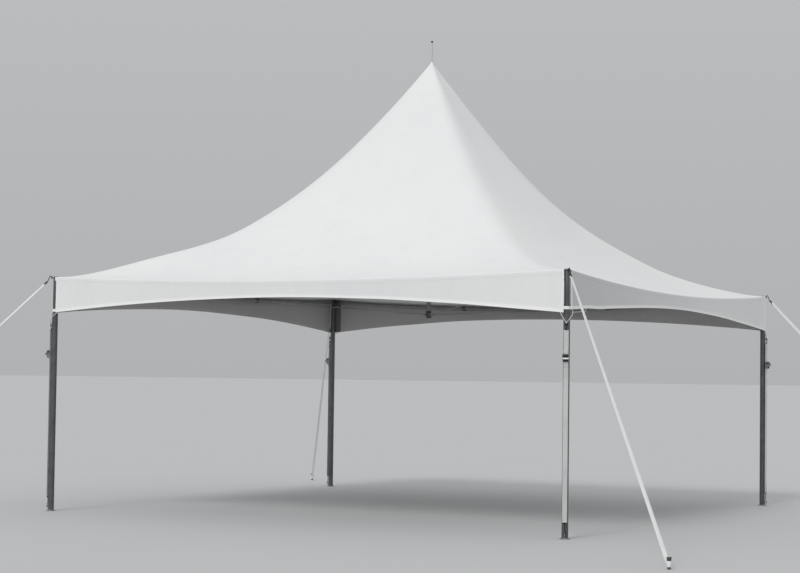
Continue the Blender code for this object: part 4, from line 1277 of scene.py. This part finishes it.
def makeWheel(near, far, out, height):
    # every other one of the rim's corners is drawn in, which leaves teeth
    wheel = addShape(bpy.ops.mesh.primitive_cylinder_add, vertices=ratchet["teeth"] * 2,
                     radius=ratchet["wheel"], depth=far - near,
                     location=(out, (near + far) / 2, height), rotation=(pi / 2, 0, 0))
    for vertex in wheel.data.vertices:
        x, z = vertex.co.x - out, vertex.co.z - height
        if round(atan2(z, x) / (pi / ratchet["teeth"])) % 2:
            vertex.co.x, vertex.co.z = out + x * ratchet["valley"], height + z * ratchet["valley"]
    editFaces(wheel, lambda centre, normal: abs(normal.y) > 0.9)
    bpy.ops.mesh.inset(thickness=0.0035)
    return paint(leaveEdit(wheel), darkSteel)


def makeRatchet():
    spool, (out, height), wide = strap["spool"], strap["anchor"], ratchet["boltHalf"]
    parts = makePair(zincPlate, (ratchet["back"], ratchet["low"]),
                     (ratchet["front"], ratchet["high"]), ratchet["inner"], ratchet["plate"],
                     0.0125, 5)
    parts += [makeWheel(-ratchet["wheelTo"], -ratchet["wheelFrom"], *spool),
              makeWheel(ratchet["wheelFrom"], ratchet["wheelTo"], *spool),
              makeBlock(zincPlate, (0.0492, -0.0275, 1.684), (0.0512, 0.0275, 1.718), 0.0008, 1),
              makeBolt(zincPlate, (out, -wide, height), (out, wide, height), ratchet["bolt"], 1.7,
                       0.45),
              makeRoll(ratchet["anchorRoll"], out, height, 0.046),
              makeRoll(strap["roll"], *spool, 0.048),
              makeCross(zincPlate, *spool, ratchet["wheelTo"], ratchet["mandrel"], 24)]
    for spacer in ratchet["spacers"]:
        parts.append(makeCross(zincPlate, *spacer, ratchet["spacerHalf"], ratchet["spacer"], 16))
    return joinPieces(parts)


atCorners(makeRatchet(), "ratchet", strapSpot, "dark_steel", "ratchet")

handle = {"arm": 0.0025, "inner": 0.0312, "root": 0.011, "gripOut": 0.026, "gripDrop": 0.027,
          "grip": 0.0060, "sleeve": 0.0078, "sleeveHalf": 0.0292, "sleeveRows": 28,
          "groove": 0.10, "washer": 0.0075, "washerThick": 0.0014}


def makeHandle():
    reach = hypot(handle["gripOut"], handle["gripDrop"])
    root, wide, rows = handle["root"], handle["sleeveHalf"], handle["sleeveRows"]
    arms = makePair(zincPlate, (-root, -root), (reach + handle["grip"] + 0.001, root),
                    handle["inner"], handle["arm"], 0.0095, 6)
    grip = makeCross(zincPlate, reach, 0, handle["inner"], handle["grip"], 20)
    # the grip's sleeve is near-white, a painted highlight
    sleeve = makeCross(paintedHighlightPlate, reach, 0, wide, handle["sleeve"], 24)
    editEdges(sleeve, lambda a, b: abs(a.y - b.y) > 0.01)
    bpy.ops.mesh.subdivide(number_cuts=rows - 1)
    bpy.ops.object.mode_set(mode="OBJECT")
    for vertex in sleeve.data.vertices:
        # each fourth row is a groove
        if round((vertex.co.y + wide) / (2 * wide) * rows) % 4 == 2:
            vertex.co -= at(vertex.co.x - reach, 0, vertex.co.z) * handle["groove"]
    parts = moveAll(arms + [grip, sleeve],
                    turned(atan2(handle["gripDrop"], handle["gripOut"]), "Y"))
    for way in (-1, 1):
        face = way * (handle["inner"] + handle["arm"])
        parts.append(makeTube(darkSteel, (0, face, 0), (0, face + way * handle["washerThick"], 0),
                              handle["washer"], 24, bevel=0.0004))
    whole = joinPieces(parts)
    whole.data.transform(shifted(strap["spool"][0], 0, strap["spool"][1]))
    return whole


atCorners(makeHandle(), "ratchetHandle", strapSpot, "zinc_steel", "ratchet_handle", ownBody=True)
print("straps and ratchets ready")

# bridles: cord from the two valance corners round the leg to the hold-down strap's ring
bridle = {"radius": 0.0034, "lay": 0.022, "along": 0.050, "out": 0.033, "ring": 0.014,
          "ringWire": 0.004, "points": 10,
          # how high each turn of the knot at a valance's corner is, and how it tilts
          "knot": ((0.004, 0.5), (-0.004, -0.6), (-0.012, 0.3)),
          # on from the near corner along the right hem: out, along and height or over the hem
          "tail": ((0, 0, 2.150), (0.008, 0.31, 2.171)), "tailEnd": (0.009, 0.318, 0.004)}


def makeBridle(corner):
    ring = Vector(strap["ringEye"])
    ringTop, radius = ring.z + bridle["ring"], bridle["radius"]
    parts = [makeRing(darkSteel, ring, (1, 0, 0), bridle["ring"], bridle["ringWire"])]
    standoff = hypot(bridle["along"], bridle["out"])
    for way, side in zip((1, -1), cornerSides[corner]):
        turn = (way * (radians(135) - atan2(bridle["out"], bridle["along"]))
                - radians(strapTurns[corner]))
        start = hemHeight(side, -way * (half - bridle["along"] + radius)) - radius
        points = []
        for i in range(bridle["points"] + 1):
            share = i / bridle["points"]
            reach, angle = standoff + (ring.x - standoff) * share, turn * (1 - share)
            points.append(at(reach * cos(angle), reach * sin(angle),
                             start + (ringTop - start) * share))
        points.insert(0, points[0] + at(z=0.012))
        parts.append(makeRope(ropeFibre, points, radius, bridle["lay"]))
        for lift, tilt in bridle["knot"]:
            parts.append(makeRing(ropeFibre, points[0] + at(z=lift), (tilt, 0.3, 1), 0.0036,
                                  0.0030, 18, 10))
    for twist in (-0.5, 0.0, 0.5):
        parts.append(makeRing(ropeFibre, (ring.x, twist * 0.008, ringTop), (twist, 1, 0.2), 0.0052,
                              0.0028, 20, 10))
    if corner == "front_right":
        # the cord's spare end, led along the right hem and tied to it
        x, y = half + bridle["out"], bridle["along"] - half
        tail = [at(x + out, y + along, height) for out, along, height in bridle["tail"]]
        out, along, over = bridle["tailEnd"]
        tail.append(at(x + out, y + along, hemHeight("right", y + along) + over))
        back = strapSpot(corner).inverted()
        parts.append(makeRope(ropeFibre, [back @ spot for spot in tail], radius, bridle["lay"]))
    whole = joinPieces(parts)
    whole.data.transform(strapSpot(corner))
    settle(whole, "bridle" + label(corner), "webbing", f"bridle_{corner}")


for corner in corners:
    makeBridle(corner)

# the sewn strap that joins two valances' ends round the outside of an upper post
tie = {"radius": 0.0285, "low": 2.177, "tall": 0.030, "thick": 0.0016, "out": 0.0372,
       "ends": (0.036, 0.018)}


def makeCornerTie():
    low, high, radius, out = tie["low"], tie["low"] + tie["tall"], tie["radius"], tie["out"]
    flat = [((out - along) / sqrt(2), -(out + along) / sqrt(2)) for along in tie["ends"]]
    arc = [(radius * cos(radians(a)), radius * sin(radians(a))) for a in range(-50, 51, 10)]
    path = flat + arc + [(x, -y) for x, y in reversed(flat)]
    last = len(path) - 1
    tab = makeGrid(last, 1, lambda across, up: (*path[round(across * last)],
                                                high if up > 0.5 else low))
    finish(useModifier(tab, "SOLIDIFY", thickness=tie["thick"], offset=0.0), 40)
    layUv(tab, lambda spot: (spot.z - (low + high) / 2, atan2(spot.y, spot.x) * radius))
    return paint(tab, hemVinyl)


atCorners(makeCornerTie(), "cornerTie", cornerSpot, "canopy_vinyl")
print("bridles ready")

# stage and light
stage = {"floor": (0.57, 0.572, 0.575), "floorWide": 700, "world": (0.975, 0.985, 1.0),
         "level": 0.45, "above": 0.76, "keyPower": 1.10, "keyFrom": (0.0, -0.766, 0.643),
         "keySpread": 20}


def makeStage():
    floor = addShape(bpy.ops.mesh.primitive_circle_add, vertices=96, radius=stage["floorWide"],
                     fill_type="NGON")
    floor.name = floor.data.name = "studioFloor"
    mat = newMaterial("floorPaint", Roughness=0.85)
    colour = blend(mat, noiseOf(mat, objectPlace(mat), 0.5, 4), stage["floor"],
                   tuple(0.97 * part for part in stage["floor"]))
    paint(floor, plug(mat, Base_Color=colour))
    world = bpy.data.worlds.new("studio")
    world.use_nodes = True
    scene.world = world
    sky = world.node_tree.nodes["Background"]
    sky.inputs["Color"].default_value = (*stage["world"], 1)
    place = node(world, "TexCoord").outputs["Generated"]
    lift = node(world, "SeparateXYZ", {0: place}).outputs[2]
    power = spread(world, lift, 0, 1, stage["level"], stage["above"])
    world.node_tree.links.new(power, sky.inputs["Strength"])
    bpy.ops.object.light_add(type="SUN", location=(0, 0, 10))
    key = bpy.context.object
    key.name = "softKey"
    key.rotation_euler = Vector(stage["keyFrom"]).to_track_quat("Z", "Y").to_euler()
    key.data.energy = stage["keyPower"]
    key.data.angle = radians(stage["keySpread"])


makeStage()
